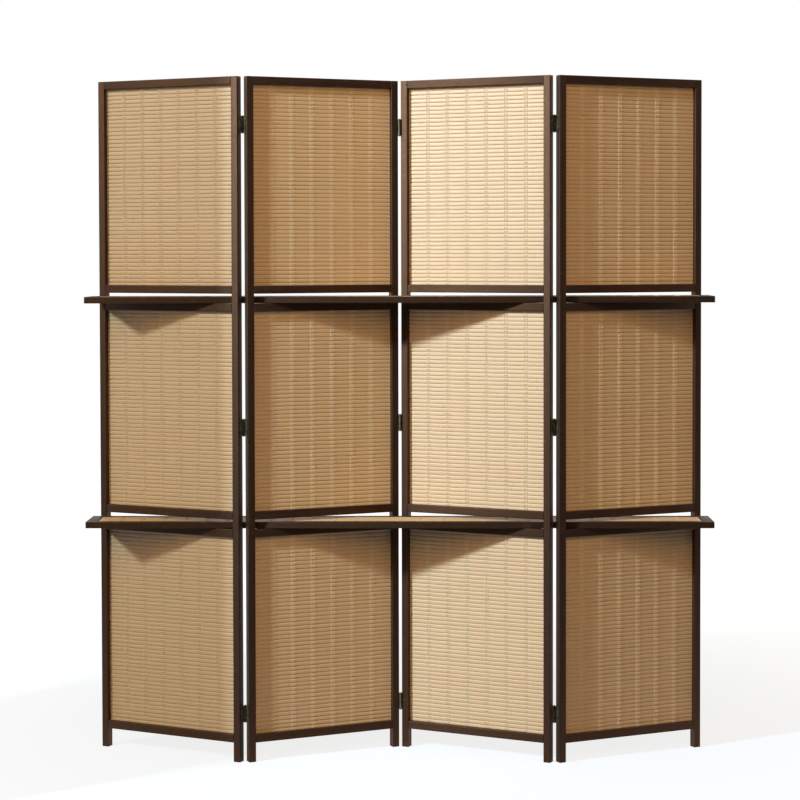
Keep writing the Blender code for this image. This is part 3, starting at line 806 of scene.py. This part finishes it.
# %% Helpers for trees
def new_tree(name, inputs):
    """A Geometry Nodes tree with named inputs, and a function that reads one of them."""
    tree = bpy.data.node_groups.new(name, "GeometryNodeTree")
    tree.interface.new_socket(name="Geometry", in_out="INPUT", socket_type="NodeSocketGeometry")
    tree.interface.new_socket(name="Geometry", in_out="OUTPUT", socket_type="NodeSocketGeometry")
    for label, (kind, default) in inputs.items():
        socket = tree.interface.new_socket(name=label, in_out="INPUT", socket_type=kind)
        if default is not None:
            socket.default_value = default
    graph = Graph(tree)
    source = graph.node("NodeGroupInput")
    return graph, source.output


def store(graph, geometry, name, value, kind="FLOAT", domain="POINT"):
    return graph.node(
        "GeometryNodeStoreNamedAttribute", {"data_type": kind, "domain": domain},
        {"Geometry": geometry, "Name": name, "Value": value},
    )


def random_value(graph, low, high, seed):
    return graph.node("FunctionNodeRandomValue", {"data_type": "FLOAT"},
                      {"Min_001": low, "Max_001": high, "Seed": seed}, "Value_001")


def straight_line(graph, end, count):
    """A straight curve from the origin to end, with count points."""
    line = graph.node("GeometryNodeCurvePrimitiveLine", None, {"End": end})
    return graph.node("GeometryNodeResampleCurve", None, {"Curve": line, "Count": count})


def swept(graph, curve, profile):
    """A tube along a curve, with closed ends."""
    return graph.node("GeometryNodeCurveToMesh", None,
                      {"Curve": curve, "Profile Curve": profile, "Fill Caps": True})


def circle(graph, points, radius):
    return graph.node("GeometryNodeCurvePrimitiveCircle", None, {"Resolution": points, "Radius": radius})


def point_row(graph, count, start, step):
    return graph.node("GeometryNodeMeshLine", {"mode": "OFFSET", "count_mode": "TOTAL"},
                      {"Count": count, "Start Location": start, "Offset": step})


def joined(graph, parts):
    """Several geometries as one."""
    join = graph.node("GeometryNodeJoinGeometry")
    for part in parts:
        graph.tree.links.new(part.socket, join.socket.node.inputs[0])
    return join


def realized(graph, instances, finish):
    """Instances made real, with their material."""
    whole = graph.node("GeometryNodeRealizeInstances", None, {"Geometry": instances})
    return graph.node("GeometryNodeSetMaterial", None, {"Geometry": whole, "Material": finish})


def moved(graph, geometry, position=None, offset=None):
    sockets = {"Geometry": geometry}
    if position:
        sockets["Position"] = position
    if offset:
        sockets["Offset"] = offset
    return graph.node("GeometryNodeSetPosition", None, sockets)


def grown(tree, values, points=()):
    """The plain mesh that a tree makes from its inputs."""
    start = bpy.data.meshes.new("start")
    start.from_pydata([tuple(p) for p in points], [], [])
    host = bpy.data.objects.new("host", start)
    bpy.context.scene.collection.objects.link(host)
    modifier = host.modifiers.new("grow", "NODES")
    modifier.node_group = tree
    for socket in tree.interface.items_tree:
        if socket.name in values:
            modifier[socket.identifier] = values[socket.name]
    return baked(host)


print("trees can be built and grown")

# %% [markdown]
# ## Woven mats
#
# A mat is the same slat laid again and again, held by columns of twined strands. A slat starts as a round
# tube of radius 1 and is pressed into a lens with blunt edges, a little fuller behind than in front. Under
# each column of strands it is pinched, and the rings of the tube crowd together there to show it. Each slat
# is tilted and sways a little, and has a random number of its own for its tint.

# %% Slats
# A pair of values is for a free slat and for one that is pinched.
SLAT_ROUND_POINTS = 12
SLAT_FULLNESS = (0.88, 0.94)
EDGE_SHARE = (0.5, 0.3)
# The valley mask, for painted shade with some varnish and dust: how it spreads and how strong it is.
VALLEY_POWER = (6, 3)
VALLEY_DEPTH = (0.48, 1.0)
PINCH_CORE = 0.4
FACE_MARGIN = 0.01
SLAT_TILT = 0.022
TILT_SEED = 11
GRAIN_STEP = 9
SWAY_REPEATS, SWAY_STEP = 7, 90
STEP_CROWDING = 0.6


def slats(graph, size):
    x, y, z = graph.separate(graph.node("GeometryNodeInputPosition"))
    line = straight_line(graph, graph.combine(size("Length"), 0, 0), size("Length Steps"))
    tube = swept(graph, line, circle(graph, SLAT_ROUND_POINTS, 1.0))
    middle, pitch = size("Length") * 0.5, size("Column Pitch")
    turns = (x - middle) / pitch + size("Columns") * 0.5
    closer = graph.math("SINE", turns * math.tau) * pitch * (STEP_CROWDING / math.tau)
    from_column = graph.math("ABSOLUTE", graph.math("FRACT", turns) * pitch + closer - pitch * 0.5)
    pinch = graph.ramp(from_column, size("Pinch Reach") * PINCH_CORE, size("Pinch Reach"), 1.0, 0.0)

    def between(free, pinched):
        """A value that differs where the strands pinch the slat."""
        return pinch * (pinched - free) + free

    rise = (1 - z * z) ** between(*SLAT_FULLNESS)
    in_front = graph.math("LESS_THAN", y, -FACE_MARGIN)
    behind = graph.math("GREATER_THAN", y, FACE_MARGIN)
    half_edge = size("Edge Thickness") * between(*EDGE_SHARE)
    back, front = (half_edge + size(bulge) * rise for bulge in ("Back Bulge", "Front Bulge"))
    from_middle = graph.math("ABSOLUTE", z)
    # `valley` marks where the finishes paint shade, and `column` where the bamboo gets a painted highlight.
    tube = store(graph, tube, "valley", from_middle ** between(*VALLEY_POWER) * between(*VALLEY_DEPTH))
    tube = store(graph, tube, "column", pinch * (1 - from_middle ** 3))
    half_pitch = size("Pitch") * 0.5
    slat = moved(graph, tube, graph.combine(x + closer, behind * back - in_front * front, z * half_pitch))
    rows = point_row(graph, size("Slats"), graph.combine(0, 0, half_pitch),
                     graph.combine(0, 0, size("Pitch")))
    tilt = random_value(graph, -SLAT_TILT, SLAT_TILT, size("Seed") + TILT_SEED)
    rows = graph.node("GeometryNodeInstanceOnPoints", None, {
        "Points": rows, "Instance": slat, "Rotation": graph.combine(tilt, 0, 0)})
    rows = store(graph, rows, "slat", random_value(graph, 0.0, 1.0, size("Seed")), domain="INSTANCE")
    rows = graph.node("GeometryNodeRealizeInstances", None, {"Geometry": rows})
    own = graph.node("GeometryNodeInputNamedAttribute", {"data_type": "FLOAT"}, {"Name": "slat"})
    rows = store(graph, rows, "grain", graph.combine(x + own * GRAIN_STEP, y, z), "FLOAT_VECTOR")
    sway = (graph.noise(graph.combine(x * SWAY_REPEATS, own * SWAY_STEP, 0)) - 0.5) * size("Waviness")
    rows = moved(graph, rows, offset=graph.combine(0, sway, 0))
    return graph.node("GeometryNodeSetMaterial", None, {"Geometry": rows, "Material": size("Slat Finish")})


print(SLAT_ROUND_POINTS, "points round a slat")

# %% [markdown]
# ### Strands
#
# A strand follows an ellipse round the slats, half a turn for each slat. Its partner runs half a turn behind,
# so that at every slat one lies in front and one behind. Pairs in a row make a column, and columns in a row
# hold the mat.

# %% Strands
STRAND_ROUND_POINTS = 4
STRAND_STEPS_PER_SLAT = 4
STRAND_SPREAD = 1.05


def strand(graph, size, side):
    """One strand of a twined pair. Its partner has the other side."""
    pitch, bite = size("Pitch"), size("Bite")
    height = size("Slats") * pitch - bite * 2
    line = straight_line(graph, graph.combine(0, 0, height), size("Slats") * STRAND_STEPS_PER_SLAT)
    x, y, z = graph.separate(graph.node("GeometryNodeInputPosition"))
    turn = (z + bite - pitch * 0.5) * math.pi / pitch
    front, back = size("Front Bulge"), size("Back Bulge")
    reach = (front + back + size("Edge Thickness")) * 0.5 + size("Strand Radius")
    centre = (back - front) * 0.5
    path = graph.combine(
        graph.math("SINE", turn) * size("Strand Radius") * (side * STRAND_SPREAD),
        centre - graph.math("COSINE", turn) * reach * side,
        z + bite,
    )
    tube = swept(graph, moved(graph, line, path), circle(graph, STRAND_ROUND_POINTS, size("Strand Radius")))
    depth = 1 - graph.math("ABSOLUTE", graph.math("COSINE", turn))
    # `valley` is how deep the strand dips, where the cotton finish paints shade.
    tube = store(graph, tube, "valley", depth ** 1.5)
    return store(graph, tube, "grain", graph.combine(z, x, y), "FLOAT_VECTOR")


def repeated(graph, instance, count, pitch, centre=0.0):
    """Instances in a row along x, about a centre."""
    start = centre - (count - 1) * pitch * 0.5
    row = point_row(graph, count, graph.combine(start, 0, 0), graph.combine(pitch, 0, 0))
    return graph.node("GeometryNodeInstanceOnPoints", None, {"Points": row, "Instance": instance})


print(STRAND_STEPS_PER_SLAT, "steps of a strand for each slat")

# %% [markdown]
# ### The mat's tree
#
# The tree joins the slats with the columns of strands and smooths them. The input Bite is how far the slats
# reach past the ends of the strands.

# %% The mat's tree
SLAT_PITCH = 0.0101
FRONT_BULGE = 0.00052
EDGE_THICKNESS = 0.0013
MAT_INPUTS = {
    "Length": ("NodeSocketFloat", 0.38),
    "Slats": ("NodeSocketInt", 50),
    "Pitch": ("NodeSocketFloat", SLAT_PITCH),
    "Front Bulge": ("NodeSocketFloat", FRONT_BULGE),
    "Back Bulge": ("NodeSocketFloat", MAT_THICKNESS - FRONT_BULGE - EDGE_THICKNESS),
    "Edge Thickness": ("NodeSocketFloat", EDGE_THICKNESS),
    "Length Steps": ("NodeSocketInt", 57),
    "Waviness": ("NodeSocketFloat", 0.0003),
    "Pinch Reach": ("NodeSocketFloat", 0.0085),
    "Columns": ("NodeSocketInt", 6),
    "Pairs In Column": ("NodeSocketInt", 3),
    "Column Pitch": ("NodeSocketFloat", 0.0537),
    "Strand Radius": ("NodeSocketFloat", 0.00068),
    "Pair Pitch": ("NodeSocketFloat", 0.0041),
    "Bite": ("NodeSocketFloat", MAT_BITE),
    "Seed": ("NodeSocketInt", 1),
    "Slat Finish": ("NodeSocketMaterial", None),
    "Strand Finish": ("NodeSocketMaterial", None),
}


def build_mat_tree():
    graph, size = new_tree("woven_mat", MAT_INPUTS)
    pair = joined(graph, [strand(graph, size, side) for side in (-1, 1)])
    column = repeated(graph, pair, size("Pairs In Column"), size("Pair Pitch"))
    columns = repeated(graph, column, size("Columns"), size("Column Pitch"), size("Length") * 0.5)
    whole = joined(graph, [slats(graph, size), realized(graph, columns, size("Strand Finish"))])
    smooth = graph.node("GeometryNodeSetShadeSmooth", None, {"Geometry": whole, "Shade Smooth": True})
    graph.node("NodeGroupOutput", None, {"Geometry": smooth})
    return graph.tree


mat_tree = build_mat_tree()
print(mat_tree.name, "has", len(mat_tree.nodes), "nodes")

# %% [markdown]
# ### The twelve panel mats and the two shelf mats
#
# Each mat gets its own seed, so no two have the same run of tints. A panel's mat reaches a few millimetres
# into the grooves. On a shelf the slats run along the board, and the tree's front faces up.

# %% Grow the mats
PANEL_WEAVE = {"Columns": 6, "Length Steps": 57, "Bite": MAT_BITE}
BOARD_WEAVE = {"Columns": 27, "Length Steps": 225, "Bite": 0.0004}
BOARD_MAT_SEEDS = {"upper": 71, "lower": 72}


def woven_mat(length, height, seed, weave):
    count = round(height / SLAT_PITCH)
    return grown(mat_tree, {
        "Length": length, "Slats": count, "Pitch": height / count, "Seed": seed,
        "Slat Finish": bamboo, "Strand Finish": cotton, **weave})


edge_depth = GROOVE_FRONT + FIT_GAP + FRONT_BULGE + EDGE_THICKNESS / 2
mat_faces = 0
for number in PANEL_FOLDS:
    for order, (name, (base, height)) in enumerate(OPENINGS.items()):
        length = PANEL_WIDTH - 2 * POST_WIDTH + 2 * MAT_BITE
        mesh = woven_mat(length, height + 2 * MAT_BITE, number * 10 + order, PANEL_WEAVE)
        mesh.transform(panel_place(number)
                       @ Matrix.Translation((POST_WIDTH - MAT_BITE, edge_depth, base - MAT_BITE)))
        node = f"panel_{number}_{name}"
        add_piece(node + "-weave", mesh, f"panel_{number}", replaced=[node])
        mat_faces += len(mesh.polygons)

for level, base in BOARD_BASES.items():
    length = BOARD_LENGTH - 2 * BOARD_END_WIDTH - 2 * FIT_GAP
    depth = BOARD_BACK - BOARD_FRONT - 2 * BOARD_RAIL_WIDTH - 2 * FIT_GAP
    mesh = woven_mat(length, depth, BOARD_MAT_SEEDS[level], BOARD_WEAVE)
    middle = base + BOARD_MAT_TOP - FRONT_BULGE - EDGE_THICKNESS / 2
    mesh.transform(Matrix.Translation((-length / 2, BOARD_CENTRE - depth / 2, middle))
                   @ Matrix.Rotation(-math.pi / 2, 4, "X"))
    node = f"{level}_shelf_mat"
    add_piece(node + "-weave", mesh, f"{level}_shelf", replaced=[node])
    mat_faces += len(mesh.polygons)
print(mat_faces, "faces in the mats")

# %% [markdown]
# ## Hinges
#
# A butt hinge is two flat leaves with interleaved knuckles, rolled from the same sheet round a pin. In a
# leaf's own frame the pin stands on z and the wood lies towards -y. The roll is drawn as a ribbon along its
# middle line: up from the plate, out to the barrel, and round the pin.

# %% The shape of a leaf
HINGE_HEIGHT = 0.042
LEAF_WIDTH = 0.015
LEAF_THICKNESS = 0.0012
LEAF_CORNER = 0.0022
CORNER_STEPS = 4
KNUCKLE_MIDDLE = 0.0023
PLATE_TOP = -0.0035
ROLL_START = ((0.0012, -0.0041), (0.00121, -0.0034), (0.00140, -0.0027), (0.00180, -0.0020),
              (0.00217, -0.0011))
ROLL_END_ANGLE = 248
ROLL_STEPS = 16
SCREW_FROM_END = 0.0052
SCREW_SINK = {"segments": 24, "radius1": 0.0014, "radius2": 0.0034, "depth": 0.0016}


def ribbon_outline(points, thickness):
    """Both sides of a ribbon that follows a line of (x, y) points."""
    left, right = [], []
    for i, point in enumerate(points):
        before, after = points[max(i - 1, 0)], points[min(i + 1, len(points) - 1)]
        run = (after - before).normalized()
        side = Vector((-run.y, run.x)) * thickness / 2
        left.append(point + side)
        right.append(point - side)
    return left + right[::-1]


def extruded(outline, place, start, end):
    """A closed prism. place(a, b, along) turns an outline point into a point of the piece."""
    build = bmesh.new()
    first = [build.verts.new(place(a, b, start)) for a, b in outline]
    last = [build.verts.new(place(a, b, end)) for a, b in outline]
    build.faces.new(first)
    build.faces.new(last[::-1])
    bridge(build, first, last)
    return finished(build)


def plate_outline():
    """A leaf's plate as (y, z) points: square by the knuckles and rounded at its far corners."""
    half, far = HINGE_HEIGHT / 2, PLATE_TOP - LEAF_WIDTH
    points = [(PLATE_TOP, -half), (PLATE_TOP, half)]
    for corner_z, start in ((half - LEAF_CORNER, 90), (-half + LEAF_CORNER, 180)):
        for step in range(CORNER_STEPS + 1):
            angle = math.radians(start + 90 * step / CORNER_STEPS)
            points.append((far + LEAF_CORNER + LEAF_CORNER * math.cos(angle),
                           corner_z + LEAF_CORNER * math.sin(angle)))
    return points


def knuckle_spans(has_outer):
    half, sixth, gap = HINGE_HEIGHT / 2, HINGE_HEIGHT / 6, FIT_GAP / 2
    return [(-half, -sixth - gap), (sixth + gap, half)] if has_outer else [(-sixth + gap, sixth - gap)]


def leaf_shape(side, has_outer):
    face = POST_GAP / 2
    leaf = extruded(plate_outline(), lambda y, z, x: (side * x, y, z), face - LEAF_THICKNESS, face)
    roll = [Vector(p) for p in ROLL_START]
    for step in range(ROLL_STEPS + 1):
        angle = math.radians(ROLL_END_ANGLE * step / ROLL_STEPS)
        roll.append(Vector((KNUCKLE_MIDDLE * math.cos(angle), KNUCKLE_MIDDLE * math.sin(angle))))
    outline = ribbon_outline(roll, LEAF_THICKNESS)
    for low, high in knuckle_spans(has_outer):
        knuckle = extruded(outline, lambda x, y, z: (side * x, y, z), low, high)
        leaf = combined(leaf, knuckle, "UNION")
    sinks = bmesh.new()
    for end in (-1, 1):
        centre = (side * (face - LEAF_THICKNESS / 2), PLATE_TOP - LEAF_WIDTH / 2,
                  end * (HINGE_HEIGHT / 2 - SCREW_FROM_END))
        turn = Matrix.Rotation(-side * math.pi / 2, 4, "Y")
        bmesh.ops.create_cone(sinks, cap_ends=True, matrix=Matrix.Translation(centre) @ turn, **SCREW_SINK)
    return combined(leaf, finished(sinks), "DIFFERENCE")


print("knuckles from and to", knuckle_spans(True), "and", knuckle_spans(False))

# %% [markdown]
# ### Leaves on their posts
#
# Each fold has three hinges, and each hinge has a leaf on either post: one with the two outer knuckles, the
# other with the knuckle between them. At the two near folds the pins stand behind the panels. At the far fold
# they stand in front, so its leaves are turned half round.

# %% Hinge leaves
HINGE_CENTRES = (0.118, 0.832, 1.582)
# For each post with leaves: its pin line, the leaf's side of it, and whether it has the outer knuckles.
POST_HINGES = {
    (1, "right"): (RIGHT_AXIS, NEAR_AXIS, -1, False),
    (2, "left"): (LEFT_AXIS, NEAR_AXIS, 1, True),
    (2, "right"): (RIGHT_AXIS, -AXIS_SETOUT, 1, True),
    (3, "left"): (LEFT_AXIS, -AXIS_SETOUT, -1, False),
    (3, "right"): (RIGHT_AXIS, NEAR_AXIS, -1, True),
    (4, "left"): (LEFT_AXIS, NEAR_AXIS, 1, False),
}


def hinge_place(number, axis_x, axis_y, height):
    """From a hinge's own frame to the screen. At a far fold the wood lies the other way."""
    half_turn = Matrix.Rotation(math.pi if axis_y < 0 else 0.0, 4, "Z")
    return panel_place(number) @ Matrix.Translation((axis_x, axis_y, height)) @ half_turn


def at_hinges(shape, place):
    """A copy of the shape at each hinge of a fold. place(height) says where."""
    copies = []
    for height in HINGE_CENTRES:
        copy = shape.copy()
        copy.transform(place(height))
        copies.append(copy)
    return merged(copies)


for (number, post), (axis_x, axis_y, side, has_outer) in POST_HINGES.items():
    leaves = at_hinges(leaf_shape(side, has_outer),
                       lambda height: hinge_place(number, axis_x, axis_y, height))
    add_piece(f"panel_{number}_{post}_leaves", leaves, f"panel_{number}", bronze,
              [f"panel_{number}_{post}_post"])
print("18 hinge leaves")

# %% [markdown]
# ### Pins
#
# A pin is a turned piece: a straight shaft with a small domed head at each end. Half of its outline, from
# the head down to the shaft, is mirrored and turned about z. The pins of the two near folds are fast in one
# leaf, and those of the middle fold turn on their own.

# %% Hinge pins
PIN_SIDES = 20
PIN_TIP = 0.0226
PIN_OUTLINE = [(0.0009, 0.02245), (0.0016, 0.0221), (0.0021, 0.0216), (0.0023, 0.0212), (0.0014, 0.0212)]


def pin_shape():
    outline = PIN_OUTLINE + [(r, -z) for r, z in reversed(PIN_OUTLINE)]
    build = bmesh.new()
    rings = [[build.verts.new((r * math.cos(a), r * math.sin(a), z))
              for a in (math.tau * i / PIN_SIDES for i in range(PIN_SIDES))] for r, z in outline]
    for first, second in zip(rings, rings[1:]):
        bridge(build, first, second)
    for ring, z in ((rings[0], PIN_TIP), (rings[-1], -PIN_TIP)):
        tip = build.verts.new((0, 0, z))
        for i in range(PIN_SIDES):
            build.faces.new((ring[i], ring[(i + 1) % PIN_SIDES], tip))
    return finished(build)


pin = pin_shape()
for label, height in zip(("lower", "middle", "upper"), HINGE_CENTRES):
    copy = pin.copy()
    copy.transform(Matrix.Translation((0, FOLD_Y, height)))
    node = f"middle_fold_{label}_pin"
    add_piece(node + "-turned", copy, "middle_hinge_pins", bronze, [node])
for number, fold_x, post in ((2, -FOLD_X, "left"), (3, FOLD_X, "right")):
    pins = at_hinges(pin, lambda height: Matrix.Translation((fold_x, -FOLD_Y, height)))
    add_piece(f"panel_{number}_{post}_pins", pins, f"panel_{number}", bronze,
              [f"panel_{number}_{post}_post"])
print("9 hinge pins")

# %% [markdown]
# ### Screws
#
# Two countersunk screws hold each leaf. Geometry Nodes make one screw from a cone, a shank and a cross
# recess, and set it on every point, each turned by a random angle as a hand would leave it.

# %% Screws
SCREW_HEAD_SIDES, SCREW_SHANK_SIDES = 20, 10
SCREW_TIP_RADIUS = 0.0002
SCREW_INPUTS = {
    "Head Radius": ("NodeSocketFloat", 0.0030),
    "Head Depth": ("NodeSocketFloat", 0.0013),
    "Shank Radius": ("NodeSocketFloat", 0.0014),
    "Shank Length": ("NodeSocketFloat", 0.0100),
    "Recess Length": ("NodeSocketFloat", 0.0036),
    "Recess Width": ("NodeSocketFloat", 0.0008),
    "Seed": ("NodeSocketInt", 1),
    "Finish": ("NodeSocketMaterial", None),
}


def build_screw_tree():
    """Screws whose heads lie in the plane z = 0 and face up, with the shank below."""
    graph, size = new_tree("countersunk_screws", SCREW_INPUTS)
    depth = size("Head Depth")

    def cone(sides, bottom, top, height, base):
        body = graph.node("GeometryNodeMeshCone", None, {
            "Vertices": sides, "Radius Top": top, "Radius Bottom": bottom, "Depth": height})
        return graph.node("GeometryNodeTransform", None,
                          {"Geometry": body, "Translation": graph.combine(0, 0, base)})

    head = cone(SCREW_HEAD_SIDES, size("Shank Radius"), size("Head Radius"), depth, 0 - depth)
    shank = cone(SCREW_SHANK_SIDES, SCREW_TIP_RADIUS, size("Shank Radius"), size("Shank Length"),
                 0 - depth - size("Shank Length"))
    cross = joined(graph, [
        graph.node("GeometryNodeMeshCube", None, {"Size": graph.combine(size(along_x), size(along_y), depth)})
        for along_x, along_y in (("Recess Length", "Recess Width"), ("Recess Width", "Recess Length"))])
    head = graph.node("GeometryNodeMeshBoolean", {"operation": "DIFFERENCE"},
                      {"Mesh 1": head, "Mesh 2": cross})
    spin = random_value(graph, 0.0, math.pi, size("Seed"))
    placed = graph.node("GeometryNodeInstanceOnPoints", None, {
        "Points": size("Geometry"), "Instance": joined(graph, [head, shank]),
        "Rotation": graph.combine(0, 0, spin)})
    graph.node("NodeGroupOutput", None, {"Geometry": realized(graph, placed, size("Finish"))})
    return graph.tree


screw_tree = build_screw_tree()
screw_reach = HINGE_HEIGHT / 2 - SCREW_FROM_END
screw_heights = [height + end * screw_reach for height in HINGE_CENTRES for end in (-1, 1)]
for (number, post), (axis_x, axis_y, side, _) in POST_HINGES.items():
    seed = number * 7 + (1 if post == "left" else -1)
    mesh = grown(screw_tree, {"Seed": seed, "Finish": screw_bronze},
                 [(side * height, 0, 0) for height in screw_heights])
    facing = Matrix.Rotation(-side * math.pi / 2, 4, "Y")
    flush = Matrix.Translation((side * (POST_GAP / 2 - LEAF_THICKNESS), PLATE_TOP - LEAF_WIDTH / 2, 0))
    mesh.transform(hinge_place(number, axis_x, axis_y, 0) @ flush @ facing)
    add_piece(f"panel_{number}_{post}_screws", mesh, f"panel_{number}", screw_bronze)
print("36 screws")

# %% [markdown]
# ## Floor and background
#
# The floor is a plain pale sheet. The camera sees a white world, and so do surfaces that mirror it or let it
# through, while it lights the screen more gently.

# %% Floor and backdrop
FLOOR_SIDE = 40.0
FLOOR_COLOUR = (0.17, 0.19, 0.22)
FLOOR_GLOW_NEAR, FLOOR_GLOW_FAR = 0.82, 1.0
GLOW_RISES, GLOW_IS_FULL = 0.5, 3.0
FLOOR_SWEEP = (-0.6, 0.4)
FLOOR_DROP = 0.0002
WORLD_SWEEP = (-0.40, 0.05)
ROOM_FLOOR, ROOM_CEILING = -0.2, 0.9
ROOM_LOW, ROOM_HIGH = 0.03, 0.26
ROOM_TINT = (1.0, 0.79, 0.58)
WHITE = (1.0, 1.0, 1.0)


def backdrop_share(graph, y, sweep):
    """1 for every ray from the camera, and for those that are mirrored or let through towards the back."""
    seen = graph.node("ShaderNodeLightPath", None, None, "Is Camera Ray")
    mirrored = graph.math("MAXIMUM", seen.output("Is Glossy Ray"), seen.output("Is Transmission Ray"))
    return graph.math("MAXIMUM", seen, mirrored * graph.ramp(y, *sweep))


def build_floor():
    build = bmesh.new()
    bmesh.ops.create_grid(build, x_segments=1, y_segments=1, size=FLOOR_SIDE / 2)
    floor = bpy.data.objects.new("floor", finished(build, "floor"))
    bpy.context.scene.collection.objects.link(floor)
    material, graph, shader = new_finish("pale_floor", roughness=0.9, specular_ior_level=0.0)
    shader.inputs["Base Color"].default_value = (*FLOOR_COLOUR, 1.0)
    shader.inputs["Emission Strength"].default_value = 1.0
    place = graph.node("ShaderNodeTexCoord", None, None, "Object")
    y = graph.separate(place)[1]
    distance = graph.node("ShaderNodeVectorMath", {"operation": "LENGTH"}, {0: place}, "Value")
    glow = graph.ramp(distance, GLOW_RISES, GLOW_IS_FULL, FLOOR_GLOW_NEAR, FLOOR_GLOW_FAR)
    glow = glow * backdrop_share(graph, y, FLOOR_SWEEP)
    graph.feed(shader.inputs["Emission Color"], graph.combine(glow, glow, glow))
    floor.data.materials.append(material)
    floor.location.z = -FLOOR_DROP


def build_world():
    world = bpy.data.worlds.new("white_backdrop")
    bpy.context.scene.world = world
    world.use_nodes = True
    graph = Graph(world.node_tree)
    background = world.node_tree.nodes["Background"]
    direction = graph.node("ShaderNodeTexCoord", None, None, "Generated")
    y, z = graph.separate(direction)[1:]
    white = backdrop_share(graph, y, WORLD_SWEEP)
    room = graph.ramp(z, ROOM_FLOOR, ROOM_CEILING, ROOM_LOW, ROOM_HIGH)
    graph.feed(background.inputs["Color"], graph.mix(white, ROOM_TINT, WHITE))
    graph.feed(background.inputs["Strength"], room + white * (1 - room))


build_floor()
build_world()
print("pale floor and white world")

# %% [markdown]
# ## Lamps
#
# A small lamp on the upper left makes the sheen on the mats and the slanting shadows under the boards. A wide
# soft lamp in front fills the rest. The first panel is dimmer than the third, though both face the same way,
# so a net between it and the small lamp thins the light that falls on it. The camera doesn't see the net.

# %% Lamps
KEY_LAMP = {"place": (-4.22, -3.07, 3.45), "target": (0.2, 0.0, 0.8), "side": 0.42, "power": 324,
            "colour": (1.0, 1.34, 1.62)}
FILL_LAMP = {"place": (0.3, -4.2, 2.9), "target": (0.0, 0.0, 0.9), "side": 2.6, "power": 92,
             "colour": (1.0, 0.745, 0.49)}
NET_EDGE, NET_TOWARDS = (-1.02, -0.56), (-0.66, 0.75)
NET_WIDTH, NET_HEIGHT = 0.9, 2.4
NET_CLEARNESS = (0.385, 0.345, 0.290)


def add_lamp(name, place, target, side, power, colour):
    data = bpy.data.lights.new(name, "AREA")
    data.shape = "SQUARE"
    data.size = side
    data.energy = power
    data.color = colour
    lamp = bpy.data.objects.new(name, data)
    bpy.context.scene.collection.objects.link(lamp)
    look = (Vector(target) - Vector(place)).to_track_quat("-Z", "Y")
    lamp.matrix_world = Matrix.Translation(place) @ look.to_matrix().to_4x4()
    return lamp


def add_net():
    """An upright net that only the lamps' light meets. About a third of it passes."""
    build = bmesh.new()
    end = Vector(NET_EDGE) + Vector(NET_TOWARDS).normalized() * NET_WIDTH
    corners = [(*NET_EDGE, 0.0), (*end, 0.0), (*end, NET_HEIGHT), (*NET_EDGE, NET_HEIGHT)]
    build.faces.new([build.verts.new(corner) for corner in corners])
    net = bpy.data.objects.new("net", finished(build, "net"))
    bpy.context.scene.collection.objects.link(net)
    material, graph, _ = new_finish("net_cloth")
    clear = graph.node("ShaderNodeBsdfTransparent", None, {"Color": NET_CLEARNESS})
    graph.feed(find_socket(material.node_tree.nodes["Material Output"].inputs, "Surface"), clear)
    net.data.materials.append(material)
    net.visible_camera = net.visible_glossy = net.visible_diffuse = False


add_lamp("key", **KEY_LAMP)
fill = add_lamp("fill", **FILL_LAMP)
fill.visible_glossy = False
add_net()
bpy.context.scene.view_settings.view_transform = "Standard"
print("two lamps and a net")

# %% [markdown] ## Finish
